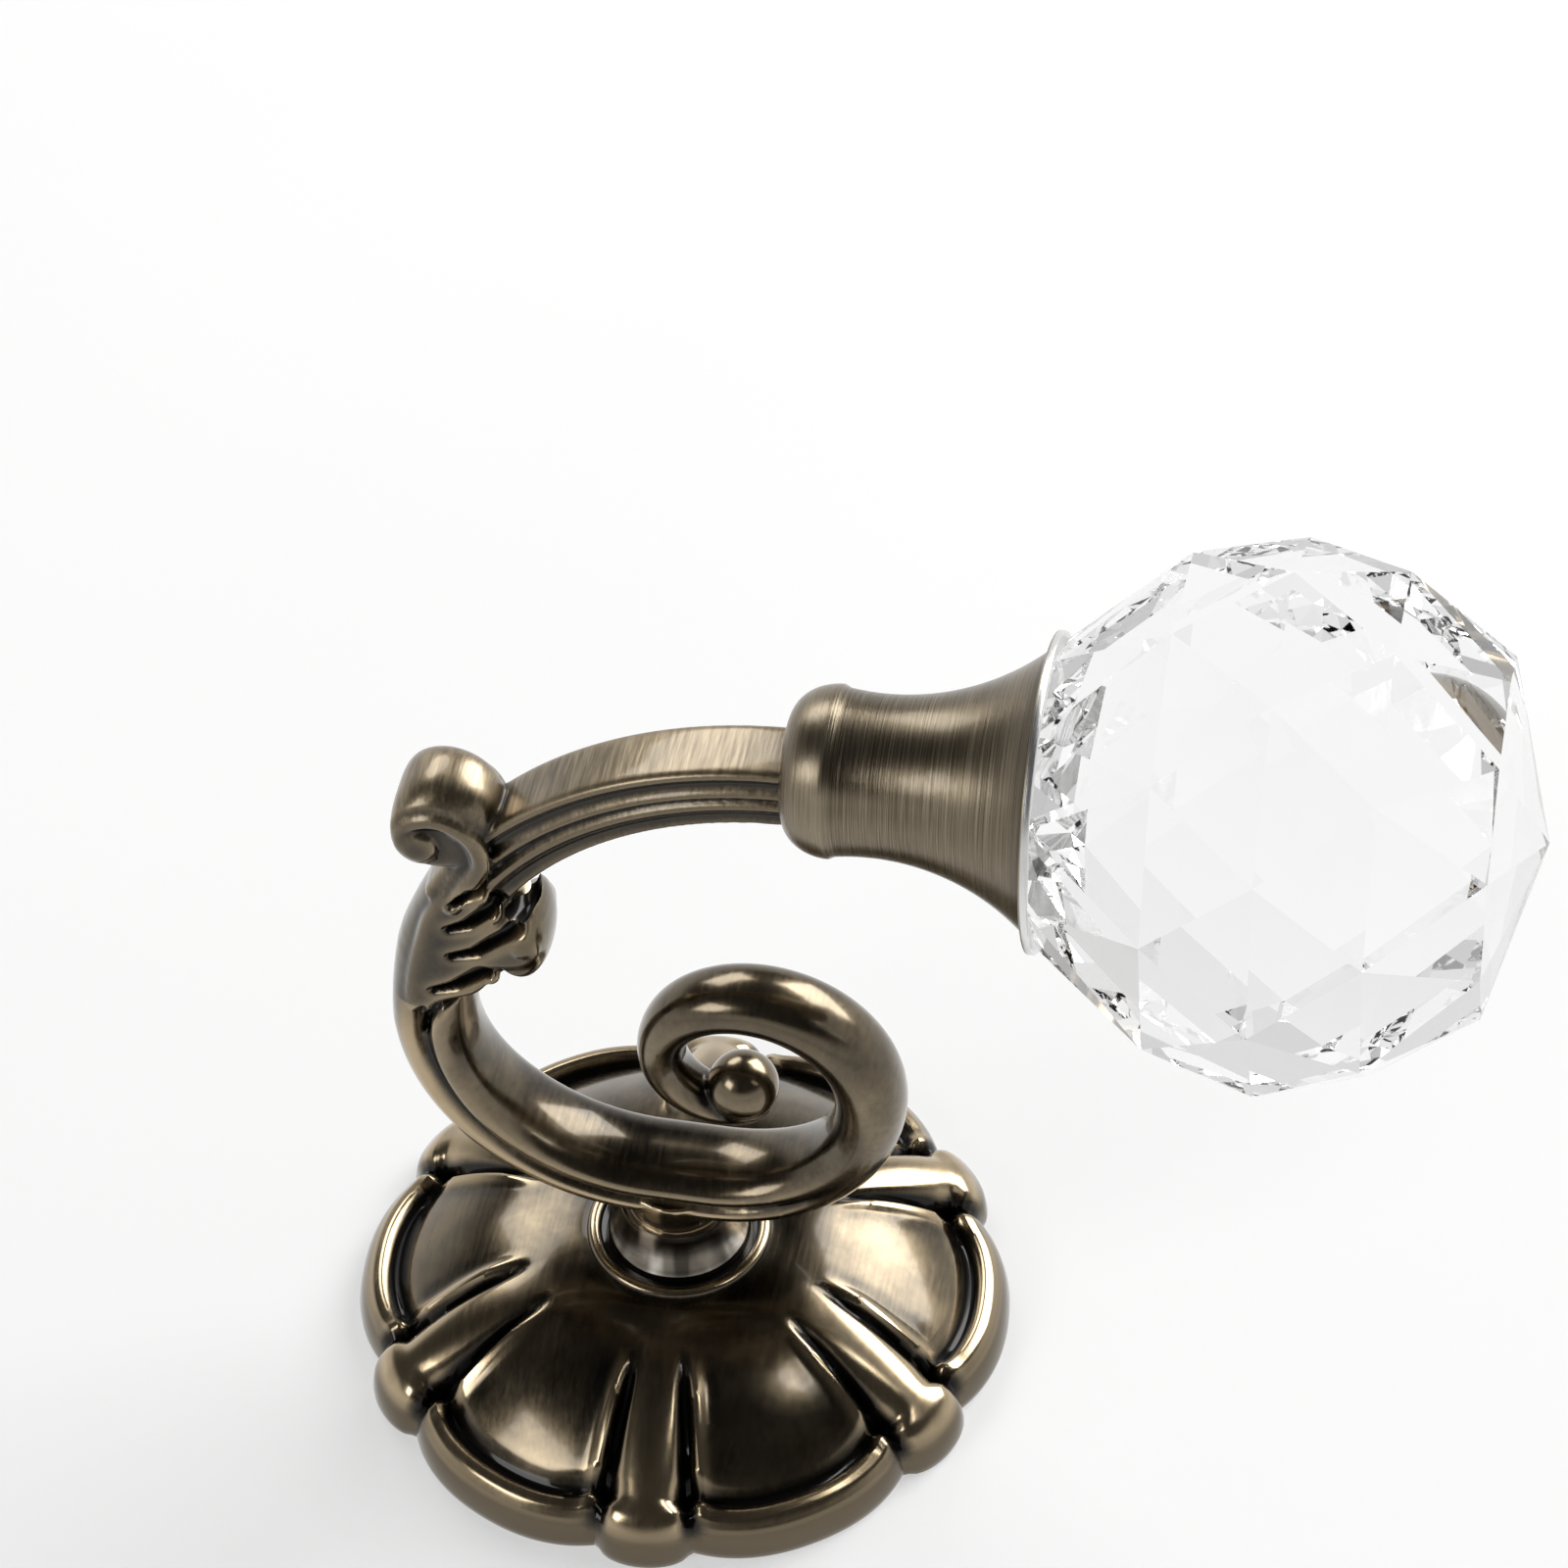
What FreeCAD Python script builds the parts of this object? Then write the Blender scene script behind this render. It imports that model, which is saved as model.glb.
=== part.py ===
import FreeCAD, Part
import Sketcher
import math
import os

# Curtain holdback: a cast rose on a hidden wall plate, a turned collar, a scrolled hook casting,
# a trumpet socket and a faceted glass ball.
# The origin is the middle of the rose's back on the wall. +Z points away from the wall, the hook lies
# in the plane Y = 0, and the ball is on the +X side.

doc = FreeCAD.newDocument("curtain_holdback")

# Driving sizes in millimetres and degrees
SIZES = [
    ("plate_diameter", 38.0),
    ("plate_thickness", 3.0),
    ("plate_hole_spacing", 26.0),
    ("plate_hole_diameter", 4.4),
    ("plate_hole_head", 8.6),
    ("screw_diameter", 5.0),
    ("screw_head_diameter", 9.2),
    ("screw_into_hook", 5.0),
    ("screw_chamfer", 0.5),
    ("screw_key", 3.0),
    ("screw_key_depth", 1.6),
    ("thread_clearance", 0.05),
    ("pass_clearance", 0.4),
    ("bore_clearance", 0.3),
    ("nut_across_flats", 8.0),
    ("nut_height", 2.7),
    ("rose_turn", 4.4),
    ("rose_lobe_radius", 33.2),
    ("rose_notch_radius", 31.2),
    ("rose_rib_radius", 33.4),
    ("rose_rib_count", 6.0),
    ("rose_seat_height", 12.0),
    ("rose_edge_height", 1.0),
    ("rose_panel_reach", 20.5),
    ("rose_panel_foot", 3.4),
    ("rose_panel_power", 2.3),
    ("rose_ring_step", 2.93),
    ("rim_start_inset", 7.3),
    ("rim_slope_inset", 5.4),
    ("rim_ditch_inset", 3.9),
    ("rim_ditch_height", 3.0),
    ("rim_lip_inset", 2.5),
    ("rim_lip_height", 4.7),
    ("rim_round_inset", 0.8),
    ("rim_round_height", 3.4),
    ("rose_hollow_radius", 26.6),
    ("rose_hollow_foot", 0.6),
    ("rose_hollow_roof", 2.6),
    ("rose_hollow_shoulder_radius", 19.0),
    ("rose_hollow_shoulder_drop", 5.6),
    ("rib_root_width", 2.2),
    ("rib_tip_width", 7.8),
    ("rib_reach", 23.5),
    ("rib_foot", 4.6),
    ("rib_power", 2.0),
    ("rib_nose", 2.5),
    ("groove_width", 1.2),
    ("groove_depth", 1.1),
    ("groove_start_radius", 15.0),
    ("groove_full_radius", 20.5),
    ("ridge_width", 1.5),
    ("ridge_height", 0.55),
    ("bead_ring_radius", 8.55),
    ("bead_ring_thickness", 0.7),
    ("bead_ring_height", 0.6),
    ("collar_foot_radius", 7.1),
    ("collar_foot_edge", 0.7),
    ("collar_neck_radius", 5.0),
    ("collar_height", 5.2),
    ("collar_flare", 8.3),
    ("bar_rise", 3.9),
    ("bowl_left", 22.8),
    ("bowl_radius", 20.8),
    ("rise_radius", 56.0),
    ("rise_turn", 21.0),
    ("rise_top_half_depth", 3.6),
    ("rise_top_half_width", 4.0),
    ("husk_half_depth", 4.1),
    ("husk_half_width", 4.6),
    ("bowl_half_depth", 3.7),
    ("run_half_depth", 3.4),
    ("run_half_width", 4.9),
    ("turn_half_depth", 3.5),
    ("turn_half_width", 4.4),
    ("tip_half_depth", 1.6),
    ("tip_half_width", 2.4),
    ("spiral_centre_x", 6.9),
    ("spiral_centre_rise", 17.1),
    ("spiral_shrink", 0.759),
    ("spiral_turn", 386.0),
    ("tip_ball_radius", 3.3),
    ("tip_ball_inset", 2.5),
    ("spiral_step", 10.0),
    ("bead_end_turn", 60.0),
    ("boss_height", 2.8),
    ("volute_centre_x", -19.2),
    ("volute_centre_rise", 49.2),
    ("volute_radius", 5.1),
    ("volute_end_radius", 3.0),
    ("volute_half_width", 4.7),
    ("volute_eye_radius", 1.9),
    ("volute_eye_height", 0.4),
    ("strap_half_width", 3.6),
    ("strap_top_half_width", 3.9),
    ("strap_half_depth", 1.5),
    ("strap_lean", 0.6),
    ("leaf_length", 16.2),
    ("leaf_half_width", 4.2),
    ("leaf_groove_depth", 0.9),
    ("leaf_groove_width", 1.3),
    ("arm_radius", 38.5),
    ("arm_sweep", 61.0),
    ("arm_drop", 1.6),
    ("arm_width", 6.8),
    ("arm_depth", 7.3),
    ("arm_bevel", 0.6),
    ("arm_ridge_height", 0.9),
    ("arm_bead_height", 1.2),
    ("arm_foot_width", 4.4),
    ("arm_flute_radius", 2.1),
    ("arm_hollow_radius", 1.4),
    ("arm_stub", 2.4),
    ("socket_back_x", 12.95),
    ("socket_rise", 59.7),
    ("socket_tilt", 1.75),
    ("socket_length", 24.0),
    ("socket_body_radius", 7.95),
    ("socket_shoulder", 3.4),
    ("socket_mouth_radius", 13.2),
    ("socket_flare", 22.5),
    ("flange_radius", 14.6),
    ("flange_thickness", 0.8),
    ("recess_clearance", 0.1),
    ("stud_diameter", 4.0),
    ("stud_in_arm", 6.0),
    ("stud_in_socket", 7.0),
    ("ball_radius", 25.0),
    ("ball_tip_radius", 23.6),
    ("ball_seat_distance", 20.6),
    ("ball_facets_round", 10.0),
    ("ball_ring_step", 22.5),
    ("ball_front_ring", 40.0),
    ("ball_back_ring", 147.0),
    ("ball_turn", 22.0),
]

sheet = doc.addObject("Spreadsheet::Sheet", "Sizes")
for row, (alias, value) in enumerate(SIZES, start=1):
    sheet.set("A%d" % row, alias)
    sheet.set("B%d" % row, str(value))
    sheet.setAlias("B%d" % row, alias)
doc.recompute()


def size(alias):
    """The value that the sheet holds under this name."""
    return float(sheet.get(alias))


def vec(x, y, z):
    return FreeCAD.Vector(x, y, z)


def plane(body, role):
    """One of the body's own origin planes."""
    for feature in body.Origin.OriginFeatures:
        if feature.Role == role:
            return feature
    raise ValueError(role)


def outline(body, name, role, corners, arcs):
    """A closed sketch on one of the body's planes. Each corner is a pair of formulas on the sheet, and
    arcs gives, for an edge's number, its radius formula and the side (1 left, -1 right) it bulges to."""
    sketch = body.newObject("Sketcher::SketchObject", name)
    sketch.AttachmentSupport = [(plane(body, role), "")]
    sketch.MapMode = "FlatFace"
    places = [vec(sheet_value(across), sheet_value(along), 0) for across, along in corners]
    starts = []
    ends = []
    for edge in range(len(corners)):
        here = places[edge]
        there = places[(edge + 1) % len(corners)]
        if edge in arcs:
            radius, side = arcs[edge]
            forwards = side < 0
            number = sketch.addGeometry(arc_between(here, there, sheet_value(radius), side), False)
            sketch.addConstraint(Sketcher.Constraint("Radius", number, sheet_value(radius)))
            sketch.setExpression("Constraints[%d]" % (sketch.ConstraintCount - 1), radius)
        else:
            forwards = True
            number = sketch.addGeometry(Part.LineSegment(here, there), False)
        starts.append((number, 1 if forwards else 2))
        ends.append((number, 2 if forwards else 1))
    for edge in range(len(corners)):
        after = (edge + 1) % len(corners)
        sketch.addConstraint(Sketcher.Constraint("Coincident", *ends[edge], *starts[after]))
    for edge, (across, along) in enumerate(corners):
        number, end = starts[edge]
        for kind, formula, value in (("DistanceX", across, places[edge].x), ("DistanceY", along, places[edge].y)):
            sketch.addConstraint(Sketcher.Constraint(kind, -1, 1, number, end, value))
            sketch.setExpression("Constraints[%d]" % (sketch.ConstraintCount - 1), formula)
    doc.recompute()
    return sketch


def arc_between(start, end, radius, side):
    """The short arc over the line from start to end that bulges to its left (side 1) or right (side -1).
    It is drawn anticlockwise, so one that bulges to the left begins at the end."""
    middle = (start + end) * 0.5
    half = (end - start).Length / 2
    across = vec(start.y - end.y, end.x - start.x, 0).normalize() * side
    centre = middle - across * math.sqrt(radius * radius - half * half)
    first, last = (end, start) if side > 0 else (start, end)
    turn_from = math.atan2(first.y - centre.y, first.x - centre.x)
    turn_to = math.atan2(last.y - centre.y, last.x - centre.x)
    if turn_to < turn_from:
        turn_to += 2 * math.pi
    return Part.ArcOfCircle(Part.Circle(centre, vec(0, 0, 1), radius), turn_from, turn_to)


def sheet_value(formula):
    """What a formula on the sheet comes to now."""
    return float(sheet.evalExpression(formula.replace("Sizes.", "")))


def turned(label, corners, arcs):
    """A body turned from a half outline: across is the radius, along is the height on its own axis."""
    body = doc.addObject("PartDesign::Body", label)
    profile = outline(body, label + "_profile", "XZ_Plane", corners, arcs)
    turn = body.newObject("PartDesign::Revolution", label + "_turn")
    turn.Profile = profile
    turn.ReferenceAxis = (profile, ["V_Axis"])
    turn.Angle = 360
    doc.recompute()
    return body


# Wall plate: a round steel plate with two countersunk holes for the wall screws, on a line through the
# middle, and a countersunk middle hole whose wide end is at the back.
def make_wall_plate():
    body = doc.addObject("PartDesign::Body", "wall_plate")
    disc_sketch = body.newObject("Sketcher::SketchObject", "plate_outline")
    disc_sketch.AttachmentSupport = [(plane(body, "XY_Plane"), "")]
    disc_sketch.MapMode = "FlatFace"
    disc_sketch.addGeometry(Part.Circle(vec(0, 0, 0), vec(0, 0, 1), size("plate_diameter") / 2), False)
    disc_sketch.addConstraint(Sketcher.Constraint("Coincident", 0, 3, -1, 1))
    disc_sketch.addConstraint(Sketcher.Constraint("Radius", 0, size("plate_diameter") / 2))
    disc_sketch.setExpression("Constraints[1]", "Sizes.plate_diameter / 2")
    disc = body.newObject("PartDesign::Pad", "plate_disc")
    disc.Profile = disc_sketch
    disc.setExpression("Length", "Sizes.plate_thickness")
    doc.recompute()

    middle = outline(
        body,
        "plate_middle_hole",
        "XZ_Plane",
        [
            ("0", "0"),
            ("Sizes.screw_head_diameter / 2 + Sizes.thread_clearance", "0"),
            (
                "Sizes.screw_diameter / 2 + Sizes.thread_clearance",
                "(Sizes.screw_head_diameter - Sizes.screw_diameter) / 2",
            ),
            ("Sizes.screw_diameter / 2 + Sizes.thread_clearance", "Sizes.plate_thickness"),
            ("0", "Sizes.plate_thickness"),
        ],
        {},
    )
    bore = body.newObject("PartDesign::Groove", "plate_middle_bore")
    bore.Profile = middle
    bore.ReferenceAxis = (middle, ["V_Axis"])
    bore.Angle = 360
    doc.recompute()

    screw_hole = outline(
        body,
        "plate_wall_screw_hole",
        "XZ_Plane",
        [
            ("Sizes.plate_hole_spacing / 2", "0"),
            ("Sizes.plate_hole_spacing / 2 + Sizes.plate_hole_diameter / 2", "0"),
            (
                "Sizes.plate_hole_spacing / 2 + Sizes.plate_hole_diameter / 2",
                "Sizes.plate_thickness - (Sizes.plate_hole_head - Sizes.plate_hole_diameter) / 2",
            ),
            ("Sizes.plate_hole_spacing / 2 + Sizes.plate_hole_head / 2", "Sizes.plate_thickness"),
            ("Sizes.plate_hole_spacing / 2", "Sizes.plate_thickness"),
        ],
        {},
    )
    first = body.newObject("PartDesign::Groove", "plate_screw_hole")
    first.Profile = screw_hole
    first.ReferenceAxis = (screw_hole, ["Edge5"])
    first.Angle = 360
    doc.recompute()
    pair = body.newObject("PartDesign::PolarPattern", "plate_screw_holes")
    pair.Originals = [first]
    pair.Axis = (disc_sketch, ["N_Axis"])
    pair.Angle = 360
    pair.Occurrences = 2
    body.Tip = pair
    doc.recompute()
    return body


# The height of the middle of the hook's bar over the boss
HOOK_HEIGHT = "(Sizes.rose_seat_height + Sizes.collar_height + Sizes.bar_rise)"


# Centre screw: countersunk head flush with the back of the plate, shank up into the hook's boss.
SCREW_END = "Sizes.rose_seat_height + Sizes.collar_height + Sizes.screw_into_hook"


def make_centre_screw():
    body = turned(
        "centre_screw",
        [
            ("0", "0"),
            ("Sizes.screw_head_diameter / 2", "0"),
            ("Sizes.screw_diameter / 2", "(Sizes.screw_head_diameter - Sizes.screw_diameter) / 2"),
            ("Sizes.screw_diameter / 2", SCREW_END + " - Sizes.screw_chamfer"),
            ("Sizes.screw_diameter / 2 - Sizes.screw_chamfer", SCREW_END),
            ("0", SCREW_END),
        ],
        {},
    )
    key_sketch = hexagon_sketch(body, "screw_key_outline", "Sizes.screw_key")
    key = body.newObject("PartDesign::Pocket", "screw_key")
    key.Profile = key_sketch
    key.setExpression("Length", "Sizes.screw_key_depth")
    key.Reversed = True
    body.Tip = key
    doc.recompute()
    return body


def hexagon_sketch(body, name, across_flats):
    """A regular hexagon round the body's own axis, its size across the flats a formula on the sheet."""
    sketch = body.newObject("Sketcher::SketchObject", name)
    sketch.AttachmentSupport = [(plane(body, "XY_Plane"), "")]
    sketch.MapMode = "FlatFace"
    reach = sheet_value(across_flats) / math.sqrt(3)
    tips = [vec(reach * math.cos(math.radians(60 * k)), reach * math.sin(math.radians(60 * k)), 0) for k in range(6)]
    for k in range(6):
        sketch.addGeometry(Part.LineSegment(tips[k], tips[(k + 1) % 6]), False)
    ring = sketch.addGeometry(Part.Circle(vec(0, 0, 0), vec(0, 0, 1), reach), True)
    for k in range(6):
        sketch.addConstraint(Sketcher.Constraint("Coincident", k, 2, (k + 1) % 6, 1))
        sketch.addConstraint(Sketcher.Constraint("PointOnObject", k, 1, ring))
        if k:
            sketch.addConstraint(Sketcher.Constraint("Equal", 0, k))
    sketch.addConstraint(Sketcher.Constraint("Coincident", ring, 3, -1, 1))
    sketch.addConstraint(Sketcher.Constraint("PointOnObject", 0, 1, -1))
    sketch.addConstraint(Sketcher.Constraint("Radius", ring, reach))
    sketch.setExpression("Constraints[%d]" % (sketch.ConstraintCount - 1), across_flats + " / sqrt(3)")
    doc.recompute()
    return sketch


# Centre nut: a thin hexagon nut on the screw, down on the plate.
def make_centre_nut():
    body = doc.addObject("PartDesign::Body", "centre_nut")
    pad = body.newObject("PartDesign::Pad", "nut_prism")
    pad.Profile = hexagon_sketch(body, "nut_outline", "Sizes.nut_across_flats")
    pad.setExpression("Length", "Sizes.nut_height")
    doc.recompute()
    hole = outline(
        body,
        "nut_hole",
        "XZ_Plane",
        [
            ("0", "0"),
            ("Sizes.screw_diameter / 2 + Sizes.thread_clearance", "0"),
            ("Sizes.screw_diameter / 2 + Sizes.thread_clearance", "Sizes.nut_height"),
            ("0", "Sizes.nut_height"),
        ],
        {},
    )
    bore = body.newObject("PartDesign::Groove", "nut_bore")
    bore.Profile = hole
    bore.ReferenceAxis = (hole, ["V_Axis"])
    bore.Angle = 360
    body.Tip = bore
    body.setExpression("Placement.Base.z", "Sizes.plate_thickness")
    doc.recompute()
    return body


# Collar: a turned post between the rose and the hook, a short upright foot, then a hollow flare.
def make_stem_collar():
    body = turned(
        "stem_collar",
        [
            ("Sizes.screw_diameter / 2 + Sizes.thread_clearance", "0"),
            ("Sizes.collar_foot_radius", "0"),
            ("Sizes.collar_foot_radius", "Sizes.collar_foot_edge"),
            ("Sizes.collar_neck_radius", "Sizes.collar_height"),
            ("Sizes.screw_diameter / 2 + Sizes.thread_clearance", "Sizes.collar_height"),
        ],
        {2: ("Sizes.collar_flare", 1)},
    )
    body.setExpression("Placement.Base.z", "Sizes.rose_seat_height")
    doc.recompute()
    return body


# Socket: a turned trumpet, rounded at the back, with a thin flange at its mouth. It is drawn standing on
# its back face and then laid along the arm's end.
def make_ball_socket():
    body = turned(
        "ball_socket",
        [
            ("0", "0"),
            ("Sizes.socket_body_radius - Sizes.socket_shoulder", "0"),
            ("Sizes.socket_body_radius", "Sizes.socket_shoulder"),
            ("Sizes.socket_mouth_radius", "Sizes.socket_length - Sizes.flange_thickness"),
            ("Sizes.flange_radius", "Sizes.socket_length - Sizes.flange_thickness"),
            ("Sizes.flange_radius", "Sizes.socket_length"),
            ("0", "Sizes.socket_length"),
        ],
        {1: ("Sizes.socket_shoulder", -1), 2: ("Sizes.socket_flare", 1)},
    )
    over = "Sizes.arm_drop - Sizes.arm_depth / 2 - Sizes.recess_clearance"
    under = "Sizes.arm_drop + Sizes.arm_depth / 2 + Sizes.recess_clearance"
    beside = "Sizes.arm_width / 2 + Sizes.recess_clearance"
    corners = [(over, "-(%s)" % beside), (under, "-(%s)" % beside), (under, beside), (over, beside)]
    pocket = body.newObject("PartDesign::Pocket", "socket_recess")
    pocket.Profile = outline(body, "socket_recess_outline", "XY_Plane", corners, {})
    pocket.setExpression("Length", "Sizes.arm_stub")
    pocket.Reversed = True
    doc.recompute()
    circle = body.newObject("Sketcher::SketchObject", "socket_bore_outline")
    circle.AttachmentSupport = [(plane(body, "XY_Plane"), "")]
    circle.MapMode = "FlatFace"
    reach = size("stud_diameter") / 2 + size("thread_clearance")
    circle.addGeometry(Part.Circle(vec(size("arm_drop"), 0, 0), vec(0, 0, 1), reach), False)
    circle.addConstraint(Sketcher.Constraint("PointOnObject", 0, 3, -1))
    circle.addConstraint(Sketcher.Constraint("DistanceX", -1, 1, 0, 3, size("arm_drop")))
    circle.setExpression("Constraints[1]", "Sizes.arm_drop")
    circle.addConstraint(Sketcher.Constraint("Radius", 0, reach))
    circle.setExpression("Constraints[2]", "Sizes.stud_diameter / 2 + Sizes.thread_clearance")
    doc.recompute()
    bore = body.newObject("PartDesign::Pocket", "socket_bore")
    bore.Profile = circle
    bore.setExpression("Length", "Sizes.arm_stub + Sizes.stud_in_socket + Sizes.bore_clearance")
    bore.Reversed = True
    body.Tip = bore
    doc.recompute()
    lay_along_socket(body, "0")
    return body


def lay_along_socket(thing, offset, lowered="0"):
    """Turns a piece drawn along +Z onto the socket's line, its start this far beyond the socket's back and
    this far below its axis."""
    thing.Placement = FreeCAD.Placement(vec(0, 0, 0), FreeCAD.Rotation(vec(0, 1, 0), 90))
    thing.setExpression("Placement.Rotation.Angle", "90 - Sizes.socket_tilt")
    along = "(%s) * cos(Sizes.socket_tilt) + (%s) * sin(Sizes.socket_tilt)" % (offset, lowered)
    upward = "(%s) * sin(Sizes.socket_tilt) - (%s) * cos(Sizes.socket_tilt)" % (offset, lowered)
    thing.setExpression("Placement.Base.x", "Sizes.socket_back_x + " + along)
    thing.setExpression("Placement.Base.z", HOOK_HEIGHT + " + Sizes.socket_rise + " + upward)
    doc.recompute()


# Stud: a headless threaded stud, half in the arm's end and half in the socket.
def make_socket_stud():
    stud = doc.addObject("Part::Cylinder", "socket_stud")
    stud.setExpression("Radius", "Sizes.stud_diameter / 2")
    stud.setExpression("Height", "Sizes.stud_in_arm + Sizes.stud_in_socket")
    lay_along_socket(stud, "Sizes.arm_stub - Sizes.stud_in_arm", "Sizes.arm_drop")
    return stud


# Rose: a round cast cover with ribs that widen towards the edge, a groove and a low ridge beside each rib,
# a shallow lobe between each pair and a raised lip round the rim. One sector, with its rib in the middle,
# is a surface through rings of points, and turned copies of it make the whole face.
# Each column of points across half a sector has a share of the rib's height, of the groove's depth, of the
# ridge's height, and of the rise of the rim's outline from the notch.
RIB_COLUMNS = [(1.0, 0.0, 0.0, 1.0), (0.93, 0.0, 0.0, 0.86), (0.55, 0.0, 0.0, 0.45)]
SIDE_COLUMNS = [(0.0, 1.0, 0.0, 0.0), (0.0, 0.0, 1.0, 0.2), (0.0, 0.0, 0.0, 0.45)]
PANEL_COLUMNS = [(0.0, 0.0, 0.0, 0.8), (0.0, 0.0, 0.0, 0.95), (0.0, 0.0, 0.0, 1.0)]
ROSE_STEPS = range(6)


def rose_panel_height(radius):
    way = max(0.0, radius - size("bead_ring_radius")) / size("rose_panel_reach")
    drop = size("rose_seat_height") - size("rose_panel_foot")
    return size("rose_seat_height") - drop * way ** size("rose_panel_power")


def rose_rib_height(radius, inset):
    """The rib's crest, which drops in a quarter round to the rim at its end."""
    way = max(0.0, radius - size("bead_ring_radius")) / size("rib_reach")
    drop = size("rose_seat_height") - size("rib_foot")
    crest = size("rose_seat_height") - drop * way ** size("rib_power")
    if inset < size("rib_nose"):
        back = 1 - inset / size("rib_nose")
        edge = size("rose_edge_height")
        crest = edge + (crest - edge) * math.sqrt(1 - back * back)
    return crest


def rose_rib_half_width(radius):
    inner = size("bead_ring_radius")
    way = (radius - inner) / (size("rose_notch_radius") - inner)
    return (size("rib_root_width") + (size("rib_tip_width") - size("rib_root_width")) * way) / 2


def rose_side_offset(column, radius):
    """How far round from the rib's middle a column lies at this radius."""
    half = rose_rib_half_width(radius)
    taper = math.sqrt(radius / size("rose_notch_radius"))
    groove = half + taper * size("groove_width") / 2
    ridge = half + taper * (size("groove_width") + size("ridge_width") / 2)
    foot = half + taper * (size("groove_width") + size("ridge_width"))
    near = [0.0, half / 2, half * 0.87, groove, ridge, foot]
    if column < len(near):
        return near[column]
    lobe = radius * math.pi / size("rose_rib_count")
    return foot + (lobe - foot) * (column + 1 - len(near)) / len(PANEL_COLUMNS)


def rose_point(ring, column, side, insets):
    """A point of the sector whose rib is on the X axis, on a ring counted from the middle outwards."""
    rib, groove, ridge, rise = (RIB_COLUMNS + SIDE_COLUMNS + PANEL_COLUMNS)[column]
    outer = size("rose_rib_radius") if column < len(RIB_COLUMNS) else size("rose_lobe_radius")
    rim = size("rose_notch_radius") + (outer - size("rose_notch_radius")) * rise
    if ring < len(ROSE_STEPS):
        radius = size("bead_ring_radius") + ROSE_STEPS[ring] * size("rose_ring_step")
        inset = rim - radius
    else:
        inset = insets[ring - len(ROSE_STEPS)]
        radius = rim - inset
    height = rose_panel_height(radius)
    ditch = size("rim_ditch_height")
    if inset == size("rim_ditch_inset"):
        height = ditch + (height - ditch) / 4
    elif inset == size("rim_lip_inset"):
        height = size("rim_lip_height")
    elif inset == size("rim_round_inset"):
        height = size("rim_round_height")
    elif inset == 0:
        height = size("rose_edge_height")
    fade = (radius - size("groove_start_radius")) / (size("groove_full_radius") - size("groove_start_radius"))
    fade = min(1.0, max(0.0, fade)) * min(1.0, inset / size("rim_ditch_inset"))
    height += rib * (rose_rib_height(radius, inset) - height)
    height += fade * (ridge * size("ridge_height") - groove * size("groove_depth"))
    turn = side * rose_side_offset(column, radius) / radius
    return vec(radius * math.cos(turn), radius * math.sin(turn), height)


def faceted_solid(rings, tips=(None, None)):
    """The solid whose skin runs through closed rings of points, each end closed to its tip or else flat."""
    count = len(rings[0])
    points = [point for ring in rings for point in ring]
    facets = []
    for step in range(len(rings) - 1):
        for k in range(count):
            here = step * count + k
            beside = step * count + (k + 1) % count
            facets.append((here, beside, beside + count))
            facets.append((here, beside + count, here + count))
    for first, turn, tip in ((0, 1, tips[0]), (len(rings) * count - count, -1, tips[1])):
        middle = vec(0, 0, 0)
        for point in points[first:first + count]:
            middle += point * (1.0 / count)
        points.append(tip or middle)
        for k in range(count):
            edge = (first + (k + 1) % count, first + k)[::turn]
            facets.append((len(points) - 1,) + edge)
    skin = Part.Shape()
    skin.makeShapeFromMesh((points, facets), 0.0001)
    solid = Part.makeSolid(skin)
    if solid.Volume < 0:
        solid.reverse()
    return solid


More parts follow.
